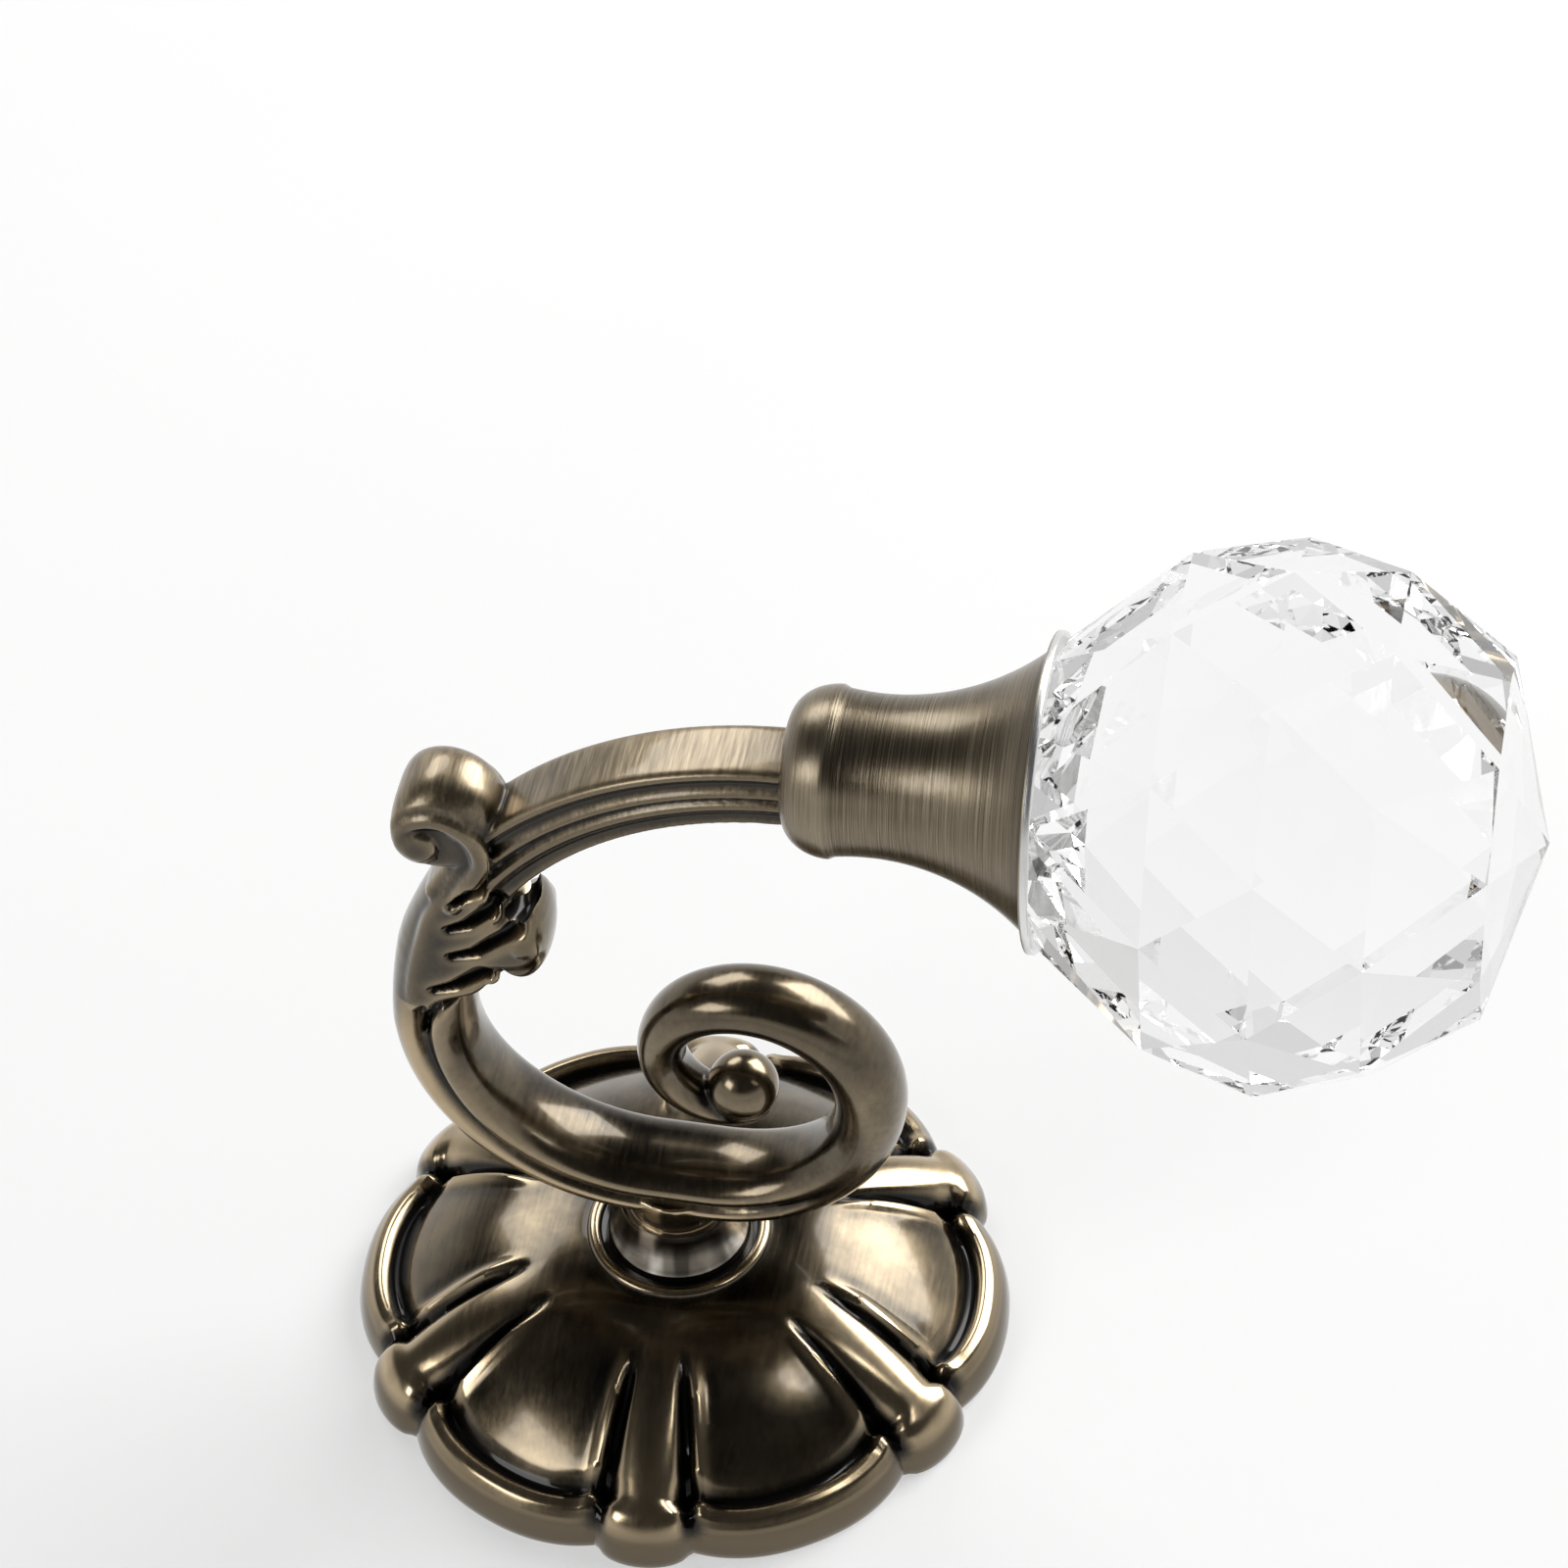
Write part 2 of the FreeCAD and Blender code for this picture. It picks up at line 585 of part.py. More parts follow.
def make_rosette():
    insets = [size(alias) for alias in ("rim_start_inset", "rim_slope_inset", "rim_ditch_inset")]
    insets += [size("rim_lip_inset"), size("rim_round_inset"), 0.0]
    last = len(RIB_COLUMNS + SIDE_COLUMNS + PANEL_COLUMNS) - 1
    count = int(size("rose_rib_count"))
    rings = []
    for ring in range(len(ROSE_STEPS) + len(insets)):
        before = [rose_point(ring, column, -1, insets) for column in range(last, 0, -1)]
        after = [rose_point(ring, column, 1, insets) for column in range(last)]
        whole = []
        for k in range(count):
            turn = FreeCAD.Rotation(vec(0, 0, 1), 360.0 * k / count)
            whole += [turn.multVec(point) for point in before + after]
        rings.append(whole)
    rings.append([vec(point.x, point.y, 0) for point in rings[-1]])
    face = doc.addObject("Part::Feature", "rose_face")
    face.Shape = faceted_solid(rings)
    face.Placement = FreeCAD.Placement(vec(0, 0, 0), FreeCAD.Rotation(vec(0, 0, 1), 1))
    face.setExpression("Placement.Rotation.Angle", "270 + Sizes.rose_turn")

    inner = "Sizes.bead_ring_radius - Sizes.bead_ring_thickness"
    outer = "Sizes.bead_ring_radius + Sizes.bead_ring_thickness"
    foot = "Sizes.rose_seat_height - Sizes.bead_ring_height"
    crest = "Sizes.rose_seat_height + Sizes.bead_ring_height"
    corners = [(inner, foot), (outer, foot), (outer + " / 3", crest), (inner + " / 3", crest)]
    ring = turned("rose_bead_ring", corners, {})
    whole = doc.addObject("Part::MultiFuse", "rose_with_ring")
    whole.Shapes = [face, ring]

    hollow = turned(
        "rose_hollow",
        [
            ("0", "0"),
            ("Sizes.rose_hollow_radius", "0"),
            ("Sizes.rose_hollow_radius", "Sizes.rose_hollow_foot"),
            ("Sizes.rose_hollow_shoulder_radius", "Sizes.rose_seat_height - Sizes.rose_hollow_shoulder_drop"),
            ("Sizes.bead_ring_radius", "Sizes.rose_seat_height - Sizes.rose_hollow_roof"),
            ("0", "Sizes.rose_seat_height - Sizes.rose_hollow_roof"),
        ],
        {},
    )
    hole = doc.addObject("Part::Cylinder", "rose_hole")
    hole.setExpression("Radius", "Sizes.screw_diameter / 2 + Sizes.pass_clearance")
    hole.setExpression("Height", "Sizes.rose_seat_height * 2")
    space = doc.addObject("Part::MultiFuse", "rose_space")
    space.Shapes = [hollow, hole]
    rosette = doc.addObject("Part::Cut", "rosette")
    rosette.Base = whole
    rosette.Tool = space
    doc.recompute()
    return rosette


# Hook: one casting. Its bar comes down from the top, round a bowl, over the boss and up into a spiral that
# ends in a ball. Half the bar's outline is given from its inner side to its outer side, as shares of the
# half depth and half width, first with a bead along each outer edge and then as a plain oval.
BEADED_OUTLINE = [
    (-1.0, 0.0), (-0.7, 0.68), (-0.16, 1.0), (0.24, 0.93),
    (0.51, 0.72), (0.73, 0.77), (0.92, 0.55), (1.0, 0.0),
]
PLAIN_OUTLINE = [
    (-1.0, 0.0), (-0.72, 0.7), (-0.3, 0.95), (0.1, 1.0),
    (0.45, 0.89), (0.72, 0.7), (0.92, 0.4), (1.0, 0.0),
]
STRAP_STEPS = 6


def bar_halves(turn):
    """The bar's half depth and half width where its line has turned this far from straight down."""
    marks = [
        (-size("rise_turn"), size("strap_half_depth"), size("strap_top_half_width")),
        (-size("rise_turn") / 2, size("rise_top_half_depth"), size("rise_top_half_width")),
        (0.0, size("husk_half_depth"), size("husk_half_width")),
        (45.0, size("bowl_half_depth"), size("run_half_width")),
        (90.0, size("run_half_depth"), size("run_half_width")),
        (180.0, size("turn_half_depth"), size("turn_half_width")),
        (90.0 + size("spiral_turn"), size("tip_half_depth"), size("tip_half_width")),
    ]
    for before, after in zip(marks, marks[1:]):
        if turn <= after[0]:
            way = (turn - before[0]) / (after[0] - before[0])
            return [before[k] + way * (after[k] - before[k]) for k in (1, 2)]
    return marks[-1][1:]


def hook_point(across, rise):
    """A point of the hook's middle plane, at this height over the middle of the bar on the boss."""
    return vec(across, 0, sheet_value(HOOK_HEIGHT) + rise)


def bar_line(turn):
    """The middle of the bar where its line has turned this far from straight down."""
    if turn <= 0:
        reach = size("rise_radius")
        x = -size("bowl_left") + reach * (1 - math.cos(math.radians(turn)))
        return hook_point(x, size("bowl_radius") - reach * math.sin(math.radians(turn)))
    if turn <= 90:
        reach = size("bowl_radius")
        x = -size("bowl_left") + reach * (1 - math.cos(math.radians(turn)))
        return hook_point(x, reach - reach * math.sin(math.radians(turn)))
    lean = math.atan(-math.log(size("spiral_shrink")) * 2 / math.pi)
    first = size("spiral_centre_rise") / math.cos(lean)
    reach = first * size("spiral_shrink") ** ((turn - 90) / 90)
    place = math.radians(turn - 180) - lean
    rise = size("spiral_centre_rise") + reach * math.sin(place)
    return hook_point(size("spiral_centre_x") + reach * math.cos(place), rise)


def bar_outward(turn):
    return vec(-math.cos(math.radians(turn)), 0, -math.sin(math.radians(turn)))


def ring_about(middle, outward, half_depth, half_width, bead):
    """The bar's outline about a point of its line, this share of the way from plain to beaded."""
    half = []
    for beaded, plain in zip(BEADED_OUTLINE, PLAIN_OUTLINE):
        out = plain[0] + bead * (beaded[0] - plain[0])
        side = plain[1] + bead * (beaded[1] - plain[1])
        half.append((out * half_depth, side * half_width))
    whole = half + [(out, -side) for out, side in reversed(half[1:-1])]
    return [middle + outward * out + vec(0, side, 0) for out, side in whole]


def bar_ring(turn):
    bead = min(1.0, max(0.0, (90 + size("bead_end_turn") - turn) / size("bead_end_turn")))
    return ring_about(bar_line(turn), bar_outward(turn), *bar_halves(turn), bead)


def strap_rings():
    """The strap that rises in an S from the bar's top, from its end inside the volute downwards."""
    foot = bar_line(-size("rise_turn"))
    outward = bar_outward(-size("rise_turn"))
    reach = size("volute_radius")
    middle = hook_point(size("volute_centre_x"), size("volute_centre_rise"))
    pull = foot + vec(outward.z, 0, -outward.x) * reach
    turn = middle + vec(reach, 0, -reach * size("strap_lean"))
    top = middle + vec(0, 0, reach / 2)
    rings = []
    for step in range(STRAP_STEPS, 0, -1):
        way = step / STRAP_STEPS
        back = 1 - way
        place = foot * back ** 3 + pull * (3 * way * back ** 2) + turn * (3 * way ** 2 * back) + top * way ** 3
        slope = (pull - foot) * back ** 2 + (turn - pull) * (2 * way * back) + (top - turn) * way ** 2
        across = vec(-slope.z, 0, slope.x).normalize()
        half_width = size("strap_top_half_width") + way * (size("strap_half_width") - size("strap_top_half_width"))
        rings.append(ring_about(place, across, size("strap_half_depth"), half_width, 0.0))
    return rings


def make_bar():
    total = size("rise_turn") + 90 + size("spiral_turn")
    count = int(round(total / size("spiral_step")))
    rings = strap_rings()
    rings += [bar_ring(-size("rise_turn") + total * k / count) for k in range(count + 1)]
    bar = doc.addObject("Part::Feature", "hook_bar")
    bar.Shape = faceted_solid(rings)
    end = 90 + size("spiral_turn")
    inward = bar_line(end) - bar_outward(end) * size("tip_ball_inset")
    ball = doc.addObject("Part::Sphere", "hook_tip_ball")
    ball.setExpression("Radius", "Sizes.tip_ball_radius")
    ball.Placement.Base = inward
    boss = doc.addObject("Part::Cylinder", "hook_boss")
    boss.setExpression("Radius", "Sizes.collar_neck_radius")
    boss.setExpression("Height", "Sizes.boss_height")
    boss.setExpression("Placement.Base.z", "Sizes.rose_seat_height + Sizes.collar_height")
    return [bar, ball, boss]


# Hook's arm: a bent bar of one section from the top of the hook to the socket, flat on the outside, with
# a hollow along each side that a sharp edge parts from a second one, and a stub that sits in the socket.
def make_arm():
    wide = size("arm_width") / 2
    deep = size("arm_depth") / 2
    foot = size("arm_foot_width") / 2
    half = [
        (0, deep),
        (wide - size("arm_bevel"), deep),
        (wide, deep - size("arm_bevel")),
        (wide, size("arm_ridge_height")),
        (wide, -size("arm_bead_height")),
        (foot, -deep),
        (0, -deep),
    ]
    bends = {2: size("arm_flute_radius"), 3: size("arm_hollow_radius")}
    edges = []
    for side in (1, -1):
        for k in range(len(half) - 1):
            start = vec(side * half[k][0], half[k][1], 0)
            end = vec(side * half[k + 1][0], half[k + 1][1], 0)
            if k in bends:
                edges.append(arc_between(start, end, bends[k], -side).toShape())
            else:
                edges.append(Part.LineSegment(start, end).toShape())
    section = doc.addObject("Part::Feature", "arm_section")
    section.Shape = Part.Face(Part.Wire(Part.__sortEdges__(edges)))
    along = vec(math.cos(math.radians(size("socket_tilt"))), 0, math.sin(math.radians(size("socket_tilt"))))
    upward = vec(-along.z, 0, along.x)
    back = hook_point(size("socket_back_x"), size("socket_rise"))
    turn = FreeCAD.Rotation(vec(0, 1, 0), upward, along, "ZYX")
    section.Placement = FreeCAD.Placement(back - upward * size("arm_drop"), turn)

    bend = doc.addObject("Part::Revolution", "arm_bend")
    bend.Source = section
    bend.Axis = vec(0, -1, 0)
    bend.Base = back - upward * size("arm_radius")
    bend.setExpression("Angle", "Sizes.arm_sweep")
    bend.Solid = True
    stub = doc.addObject("Part::Extrusion", "arm_stub")
    stub.Base = section
    stub.DirMode = "Custom"
    stub.Dir = along
    stub.setExpression("LengthFwd", "Sizes.arm_stub")
    stub.Solid = True
    return [bend, stub]


# Hook's volute: the roll over the arm's end is a barrel across the hook, with an eye at each side.
def make_volute():
    bulge = "(Sizes.volute_radius - Sizes.volute_end_radius)"
    half = "Sizes.volute_half_width"
    curve = "(%s * %s + %s * %s) / (2 * %s)" % (half, half, bulge, bulge, bulge)
    end = "Sizes.volute_end_radius"
    barrel = turned("volute_barrel", [("0", "-" + half), (end, "-" + half), (end, half), ("0", half)], {1: (curve, -1)})
    eyes = doc.addObject("Part::Cylinder", "volute_eyes")
    eyes.setExpression("Radius", "Sizes.volute_eye_radius")
    eyes.setExpression("Height", "2 * (Sizes.volute_half_width + Sizes.volute_eye_height)")
    for thing, start in ((barrel, "0"), (eyes, "-(Sizes.volute_half_width + Sizes.volute_eye_height)")):
        thing.Placement = FreeCAD.Placement(vec(0, 0, 0), FreeCAD.Rotation(vec(1, 0, 0), -90))
        thing.setExpression("Placement.Base.x", "Sizes.volute_centre_x")
        thing.setExpression("Placement.Base.y", start)
        thing.setExpression("Placement.Base.z", HOOK_HEIGHT + " + Sizes.volute_centre_rise")
    doc.recompute()
    return [barrel, eyes]


# Hook's leaf: a husk that clasps the bar under the volute. Its inner edge runs down through two small
# lobes, a long curled one and a last small one, and a slanting groove in each side leads to each gap.
# An edge point is across and up from the bar's middle where its bowl starts, as a share of the leaf's
# length; where the edge bulges to the next one, the point on the bulge follows.
LEAF_EDGE = [
    ((0.247, 1.315), None),
    ((0.346, 1.265), (0.401, 1.216)),
    ((0.352, 1.167), None),
    ((0.340, 1.142), None),
    ((0.414, 1.148), (0.475, 1.093)),
    ((0.420, 1.037), None),
    ((0.364, 1.000), None),
    ((0.543, 0.957), (0.685, 0.821)),
    ((0.562, 0.679), None),
    ((0.346, 0.623), None),
    ((0.383, 0.580), (0.451, 0.506)),
    ((0.370, 0.438), None),
    ((0.198, 0.315), None),
    ((0.074, 0.623), None),
]
LEAF_GROOVES = [
    ((0.173, 0.969), (0.383, 1.154)),
    ((0.173, 0.710), (0.457, 0.969)),
    ((0.068, 0.432), (0.407, 0.617)),
]


def leaf_point(place, side=0.0):
    reach = size("leaf_length")
    return bar_line(0) + vec(place[0] * reach, side, place[1] * reach)


def make_leaf():
    edges = []
    for k, (start, bulge) in enumerate(LEAF_EDGE):
        end = LEAF_EDGE[(k + 1) % len(LEAF_EDGE)][0]
        if bulge:
            edges.append(Part.Arc(leaf_point(start), leaf_point(bulge), leaf_point(end)).toShape())
        else:
            edges.append(Part.LineSegment(leaf_point(start), leaf_point(end)).toShape())
    face = doc.addObject("Part::Feature", "leaf_outline")
    face.Shape = Part.Face(Part.Wire(Part.__sortEdges__(edges)))
    return [across_hook("leaf_husk", face, "Sizes.leaf_half_width", "Sizes.leaf_half_width")]


def make_leaf_grooves():
    grooves = []
    for number, (start, end) in enumerate(LEAF_GROOVES):
        along = leaf_point(end) - leaf_point(start)
        middle = (leaf_point(start) + leaf_point(end)) * 0.5
        bulge = vec(-along.z, 0, along.x).normalize() * (size("leaf_groove_width") / 2)
        for side, name in ((1, "left"), (-1, "right")):
            floor = vec(0, side * (size("leaf_half_width") - size("leaf_groove_depth")), 0)
            over = Part.Arc(leaf_point(start) + floor, middle + bulge + floor, leaf_point(end) + floor).toShape()
            under = Part.Arc(leaf_point(start) + floor, middle - bulge + floor, leaf_point(end) + floor).toShape()
            eye = doc.addObject("Part::Feature", "leaf_eye_%d_%s" % (number, name))
            eye.Shape = Part.Face(Part.Wire([over, under]))
            lengths = ("Sizes.leaf_half_width", "0") if side > 0 else ("0", "Sizes.leaf_half_width")
            grooves.append(across_hook("leaf_groove_%d_%s" % (number, name), eye, *lengths))
    return grooves


def across_hook(name, face, left, right):
    """A flat face in the hook's plane drawn out to each side of it by these lengths."""
    slab = doc.addObject("Part::Extrusion", name)
    slab.Base = face
    slab.DirMode = "Custom"
    slab.Dir = vec(0, 1, 0)
    slab.setExpression("LengthFwd", left)
    slab.setExpression("LengthRev", right)
    slab.Solid = True
    return slab


def make_hook_arm():
    whole = doc.addObject("Part::MultiFuse", "hook_whole")
    whole.Shapes = make_bar() + make_arm() + make_volute() + make_leaf()
    screw_hole = doc.addObject("Part::Cylinder", "hook_screw_hole")
    screw_hole.setExpression("Radius", "Sizes.screw_diameter / 2 + Sizes.thread_clearance")
    screw_hole.setExpression("Height", SCREW_END + " + Sizes.bore_clearance")
    stud_hole = doc.addObject("Part::Cylinder", "hook_stud_hole")
    stud_hole.setExpression("Radius", "Sizes.stud_diameter / 2 + Sizes.thread_clearance")
    stud_hole.setExpression("Height", "Sizes.stud_in_arm + 2 * Sizes.bore_clearance")
    start = "Sizes.arm_stub - Sizes.stud_in_arm - Sizes.bore_clearance"
    lay_along_socket(stud_hole, start, "Sizes.arm_drop")
    holes = doc.addObject("Part::MultiFuse", "hook_holes")
    holes.Shapes = [screw_hole, stud_hole] + make_leaf_grooves()
    hook = doc.addObject("Part::Cut", "hook_arm")
    hook.Base = whole
    hook.Tool = holes
    doc.recompute()
    return hook


# Ball: a glass ball cut in staggered rings of flat facets round the socket's line, with a low pyramid of
# facets over each end and a flat seat glued to the flange.
def make_crystal_ball():
    count = int(size("ball_facets_round"))
    middle = size("ball_seat_distance")
    step = size("ball_ring_step")
    rings = []
    for ring, angle in enumerate((size("ball_front_ring"), 90 - step, 90, 90 + step, size("ball_back_ring"))):
        polar = math.radians(angle)
        reach = size("ball_radius") * math.sin(polar)
        height = middle + size("ball_radius") * math.cos(polar)
        turns = [math.radians(size("ball_turn") + 360.0 * (k - ring / 2) / count) for k in range(count)]
        rings.append([vec(reach * math.cos(turn), reach * math.sin(turn), height) for turn in turns])
    tips = (vec(0, 0, middle + size("ball_tip_radius")), vec(0, 0, middle - size("ball_tip_radius")))
    cut = doc.addObject("Part::Feature", "ball_facets")
    cut.Shape = faceted_solid(rings, tips)
    lay_along_socket(cut, "Sizes.socket_length")
    keep = doc.addObject("Part::Cylinder", "ball_part_kept")
    keep.setExpression("Radius", "Sizes.ball_radius * 2")
    keep.setExpression("Height", "Sizes.ball_radius * 2")
    lay_along_socket(keep, "Sizes.socket_length")
    ball = doc.addObject("Part::MultiCommon", "crystal_ball")
    ball.Shapes = [cut, keep]
    doc.recompute()
    return ball


# Every piece, each checked and then written under its own name
PIECES = [
    make_wall_plate(),
    make_centre_screw(),
    make_centre_nut(),
    make_rosette(),
    make_stem_collar(),
    make_hook_arm(),
    make_socket_stud(),
    make_ball_socket(),
    make_crystal_ball(),
]
doc.recompute()
for thing in doc.Objects:
    if "Invalid" in thing.State or "Error" in thing.State:
        raise RuntimeError("%s is %s" % (thing.Name, thing.State))
os.makedirs("parts", exist_ok=True)
for piece in PIECES:
    shape = piece.Shape
    if shape.isNull() or not shape.isValid() or len(shape.Solids) != 1:
        raise RuntimeError(piece.Label + " is not one valid solid")
    shape.exportStep("parts/%s.step" % piece.Label)
    box = shape.Solids[0].BoundBox
    print("%s: %.1f mm3, %.1f x %.1f x %.1f mm" % (piece.Label, shape.Volume, box.XLength, box.YLength, box.ZLength))
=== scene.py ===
# %% [markdown]
# A curtain holdback: a ribbed wall rose, a small polished collar, a scrolled hook cast in one piece, a
# brushed trumpet socket and a cut glass ball. The solids are loaded first as a fixed frame, in metres with
# Z away from the wall. Everything below is built in that same frame, so nothing has to be fitted later.

# %% Load the frame
import bmesh
import bpy
import math
import numpy as np
from mathutils import Matrix, Vector


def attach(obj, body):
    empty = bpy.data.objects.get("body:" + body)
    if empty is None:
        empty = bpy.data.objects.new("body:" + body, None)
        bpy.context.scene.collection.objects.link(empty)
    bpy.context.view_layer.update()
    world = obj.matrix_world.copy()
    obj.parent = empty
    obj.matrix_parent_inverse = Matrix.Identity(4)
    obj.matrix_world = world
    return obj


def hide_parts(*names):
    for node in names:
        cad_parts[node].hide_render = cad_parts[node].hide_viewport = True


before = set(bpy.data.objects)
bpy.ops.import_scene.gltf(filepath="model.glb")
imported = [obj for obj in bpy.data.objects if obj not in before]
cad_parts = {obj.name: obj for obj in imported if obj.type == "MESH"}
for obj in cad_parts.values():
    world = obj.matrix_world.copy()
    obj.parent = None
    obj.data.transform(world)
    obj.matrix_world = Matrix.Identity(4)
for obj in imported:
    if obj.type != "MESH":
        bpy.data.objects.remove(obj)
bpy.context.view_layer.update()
MM = 0.001
print("nodes:", sorted(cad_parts))


# %% [markdown]
# The camera stands above and in front, looking down at the hook at fifty degrees, from half a metre away.
# Its direction, distance and lens were worked out from the rose's ribs, the socket's flange and the ball.
# It is turned so that the middle of the picture needs no lens shift.

# %% Camera
PICTURE = 1600
AIM = Vector((0.020, 0.0, 0.035))
AIM_PIXEL = (890.9, 1126.4)
FOCAL_PIXELS = 5284.9
AZIMUTH, ELEVATION, ROLL = (math.radians(angle) for angle in (11.26, 50.02, -1.27))

backward = Vector((
    math.sin(AZIMUTH) * math.cos(ELEVATION),
    -math.cos(AZIMUTH) * math.cos(ELEVATION),
    math.sin(ELEVATION),
))
level = Vector((math.cos(AZIMUTH), math.sin(AZIMUTH), 0))
upright = backward.cross(level)
right = level * math.cos(ROLL) + upright * math.sin(ROLL)
up = upright * math.cos(ROLL) - level * math.sin(ROLL)
stand = AIM + backward * 0.5
to_middle = -backward * FOCAL_PIXELS
to_middle += right * (PICTURE / 2 - AIM_PIXEL[0]) - up * (PICTURE / 2 - AIM_PIXEL[1])
back_axis = -to_middle.normalized()
right_axis = (right - back_axis * right.dot(back_axis)).normalized()
up_axis = back_axis.cross(right_axis)

lens = bpy.data.cameras.new("camera")
lens.sensor_width = 36
lens.lens = FOCAL_PIXELS / PICTURE * 36
lens.clip_start = 0.01
camera = bpy.data.objects.new("camera", lens)
turn = Matrix((right_axis, up_axis, back_axis)).transposed().to_4x4()
camera.matrix_world = Matrix.Translation(stand) @ turn
bpy.context.scene.collection.objects.link(camera)
bpy.context.scene.camera = camera
print("lens %.1f mm" % lens.lens)


# %% [markdown]
# Shader maths reads best as plain expressions. This small class wraps a socket: adding, multiplying or
# subtracting wrapped sockets adds the Math nodes behind the scenes. One method makes any other node.

# %% Nodes as expressions
class Wire:
    def __init__(self, shader, socket):
        self.shader = shader
        self.socket = socket

    def math(self, kind, *others):
        return self.shader.node("ShaderNodeMath", {"operation": kind}, [self, *others])

    def __add__(self, other):
        return self.math("ADD", other)

    def __mul__(self, other):
        return self.math("MULTIPLY", other)

    def __sub__(self, other):
        return self.math("SUBTRACT", other)

    def __rsub__(self, other):
        return self.shader.node("ShaderNodeMath", {"operation": "SUBTRACT"}, [other, self])

    __radd__ = __add__
    __rmul__ = __mul__

    def clamp(self):
        return self.shader.node("ShaderNodeClamp", {}, [self])


class Shader:
    """A material whose tree is built by calls. Its finish node is the Principled shader."""

    def __init__(self, name):
        self.material = bpy.data.materials.new(name)
        self.material.use_nodes = True
        self.tree = self.material.node_tree
        self.finish = next(node for node in self.tree.nodes if node.type == "BSDF_PRINCIPLED")

    def feed(self, socket, value):
        if isinstance(value, Wire):
            self.tree.links.new(value.socket, socket)
        else:
            socket.default_value = value

    def node(self, kind, settings, values, out=0):
        node = self.tree.nodes.new(kind)
        for key, value in settings.items():
            if key == "stops":
                fill_ramp(node.color_ramp, value)
            else:
                setattr(node, key, value)
        pairs = values.items() if isinstance(values, dict) else enumerate(values)
        for key, value in pairs:
            self.feed(node.inputs[key], value)
        return Wire(self, node.outputs[out])

    def set(self, **values):
        for key, value in values.items():
            self.feed(self.finish.inputs[key.replace("_", " ")], value)

    def place(self):
        return self.node("ShaderNodeTexCoord", {}, {}, out="Object")

    def stretched(self, vector, scale):
        return self.node("ShaderNodeMapping", {"vector_type": "POINT"}, {"Vector": vector, "Scale": scale})

    def noise(self, vector, scale, detail=4.0, roughness=0.55):
        values = {"Vector": vector, "Scale": scale, "Detail": detail, "Roughness": roughness}
        return self.node("ShaderNodeTexNoise", {}, values)

    def steps(self, value, stops):
        return self.node("ShaderNodeValToRGB", {"stops": stops}, [value])

    def mix(self, factor, first, second):
        return self.node("ShaderNodeMix", {"data_type": "RGBA"}, {0: factor, 6: first, 7: second}, out=2)

    def attribute(self, name):
        return self.node("ShaderNodeAttribute", {"attribute_name": name}, {}, out="Fac")

    def bump(self, height, strength, distance):
        return self.node("ShaderNodeBump", {}, {"Height": height, "Strength": strength, "Distance": distance})


def fill_ramp(ramp, stops):
    while len(ramp.elements) < len(stops):
        ramp.elements.new(1.0)
    for element, (position, shade) in zip(ramp.elements, stops):
        element.position = position
        element.color = shade if len(shade) == 4 else (*shade, 1.0)


def grey(shade):
    return (shade, shade, shade, 1.0)


print("expression nodes ready")


# %% [markdown]
# The cast parts wear a dark antique finish: brass patinated nearly black in the hollows, worn back to warm
# metal on raised edges, then lacquered. Each cast piece carries two attributes for that, `raised` and
# `hollow`, measured on its own mesh. Three more mark places by rule: `toned` marks painted shade, a
# darker colour where shade falls; `satin` marks faces brushed bare and painted
# lighter as a painted highlight; and `gilt` is worn bright. Noise breaks the tone up, and a thin clear coat
# gives the gloss.

# %% Antique casting finish
def antique_brass(name):
    shader = Shader(name)
    place = shader.place()
    raised = shader.attribute("raised")
    hollow = shader.attribute("hollow")
    cloud = shader.noise(place, 110.0, 4.0, 0.55)
    fine = shader.noise(place, 1100.0, 3.0, 0.6)
    brush = shader.noise(shader.stretched(place, (1.0, 0.07, 0.6)), 2600.0, 3.0, 0.6)
    satin = shader.attribute("satin")
    toned = shader.attribute("toned")
    colour_pattern = (cloud * 0.8) + (brush * 0.1) + (fine * 0.1)
    patina = shader.steps(colour_pattern, [
        (0.4, (0.022, 0.018, 0.013)),
        (0.51, (0.066, 0.053, 0.035)),
        (0.64, (0.15, 0.118, 0.074)),
    ])
    # A lighter brushed colour for up-facing faces near the top: a brushed finish, and partly a painted highlight.
    brushed_and_highlight_colour = shader.steps(brush, [
        (0.35, (0.17, 0.135, 0.088)),
        (0.5, (0.27, 0.217, 0.145)),
        (0.68, (0.44, 0.36, 0.25)),
    ])
    colour = shader.mix(satin * 0.8, patina, brushed_and_highlight_colour)
    worn = ((raised * 1.1) + shader.attribute("gilt") * (0.3 + cloud * 0.6) + (brush - 0.5) * 0.15).clamp()
    colour = shader.mix(worn, colour, (0.46, 0.36, 0.225, 1.0))
    # Painted shade: the hook's flat sides and the rose's foot by the wall are painted this dark colour.
    colour = shader.mix(toned, colour, (0.036, 0.029, 0.019, 1.0))
    dirt = ((hollow * 1.35) + (cloud - 0.5) * 0.25).clamp()
    colour = shader.mix(dirt, colour, (0.008, 0.007, 0.006, 1.0))
    rough = 0.19 + (brush - 0.3) * 0.15 + satin * 0.15
    height = (cloud * 0.3) + (brush * 0.15) + (brush * satin * 0.6)
    shader.set(Base_Color=colour, Metallic=1.0, Roughness=rough + (dirt * 0.2))
    shader.set(Coat_Weight=0.45, Coat_Roughness=0.08)
    shader.set(Normal=shader.bump(height, 0.22, 0.00012))
    return shader.material


CASTING = antique_brass("antique_casting")
print("made", CASTING.name)
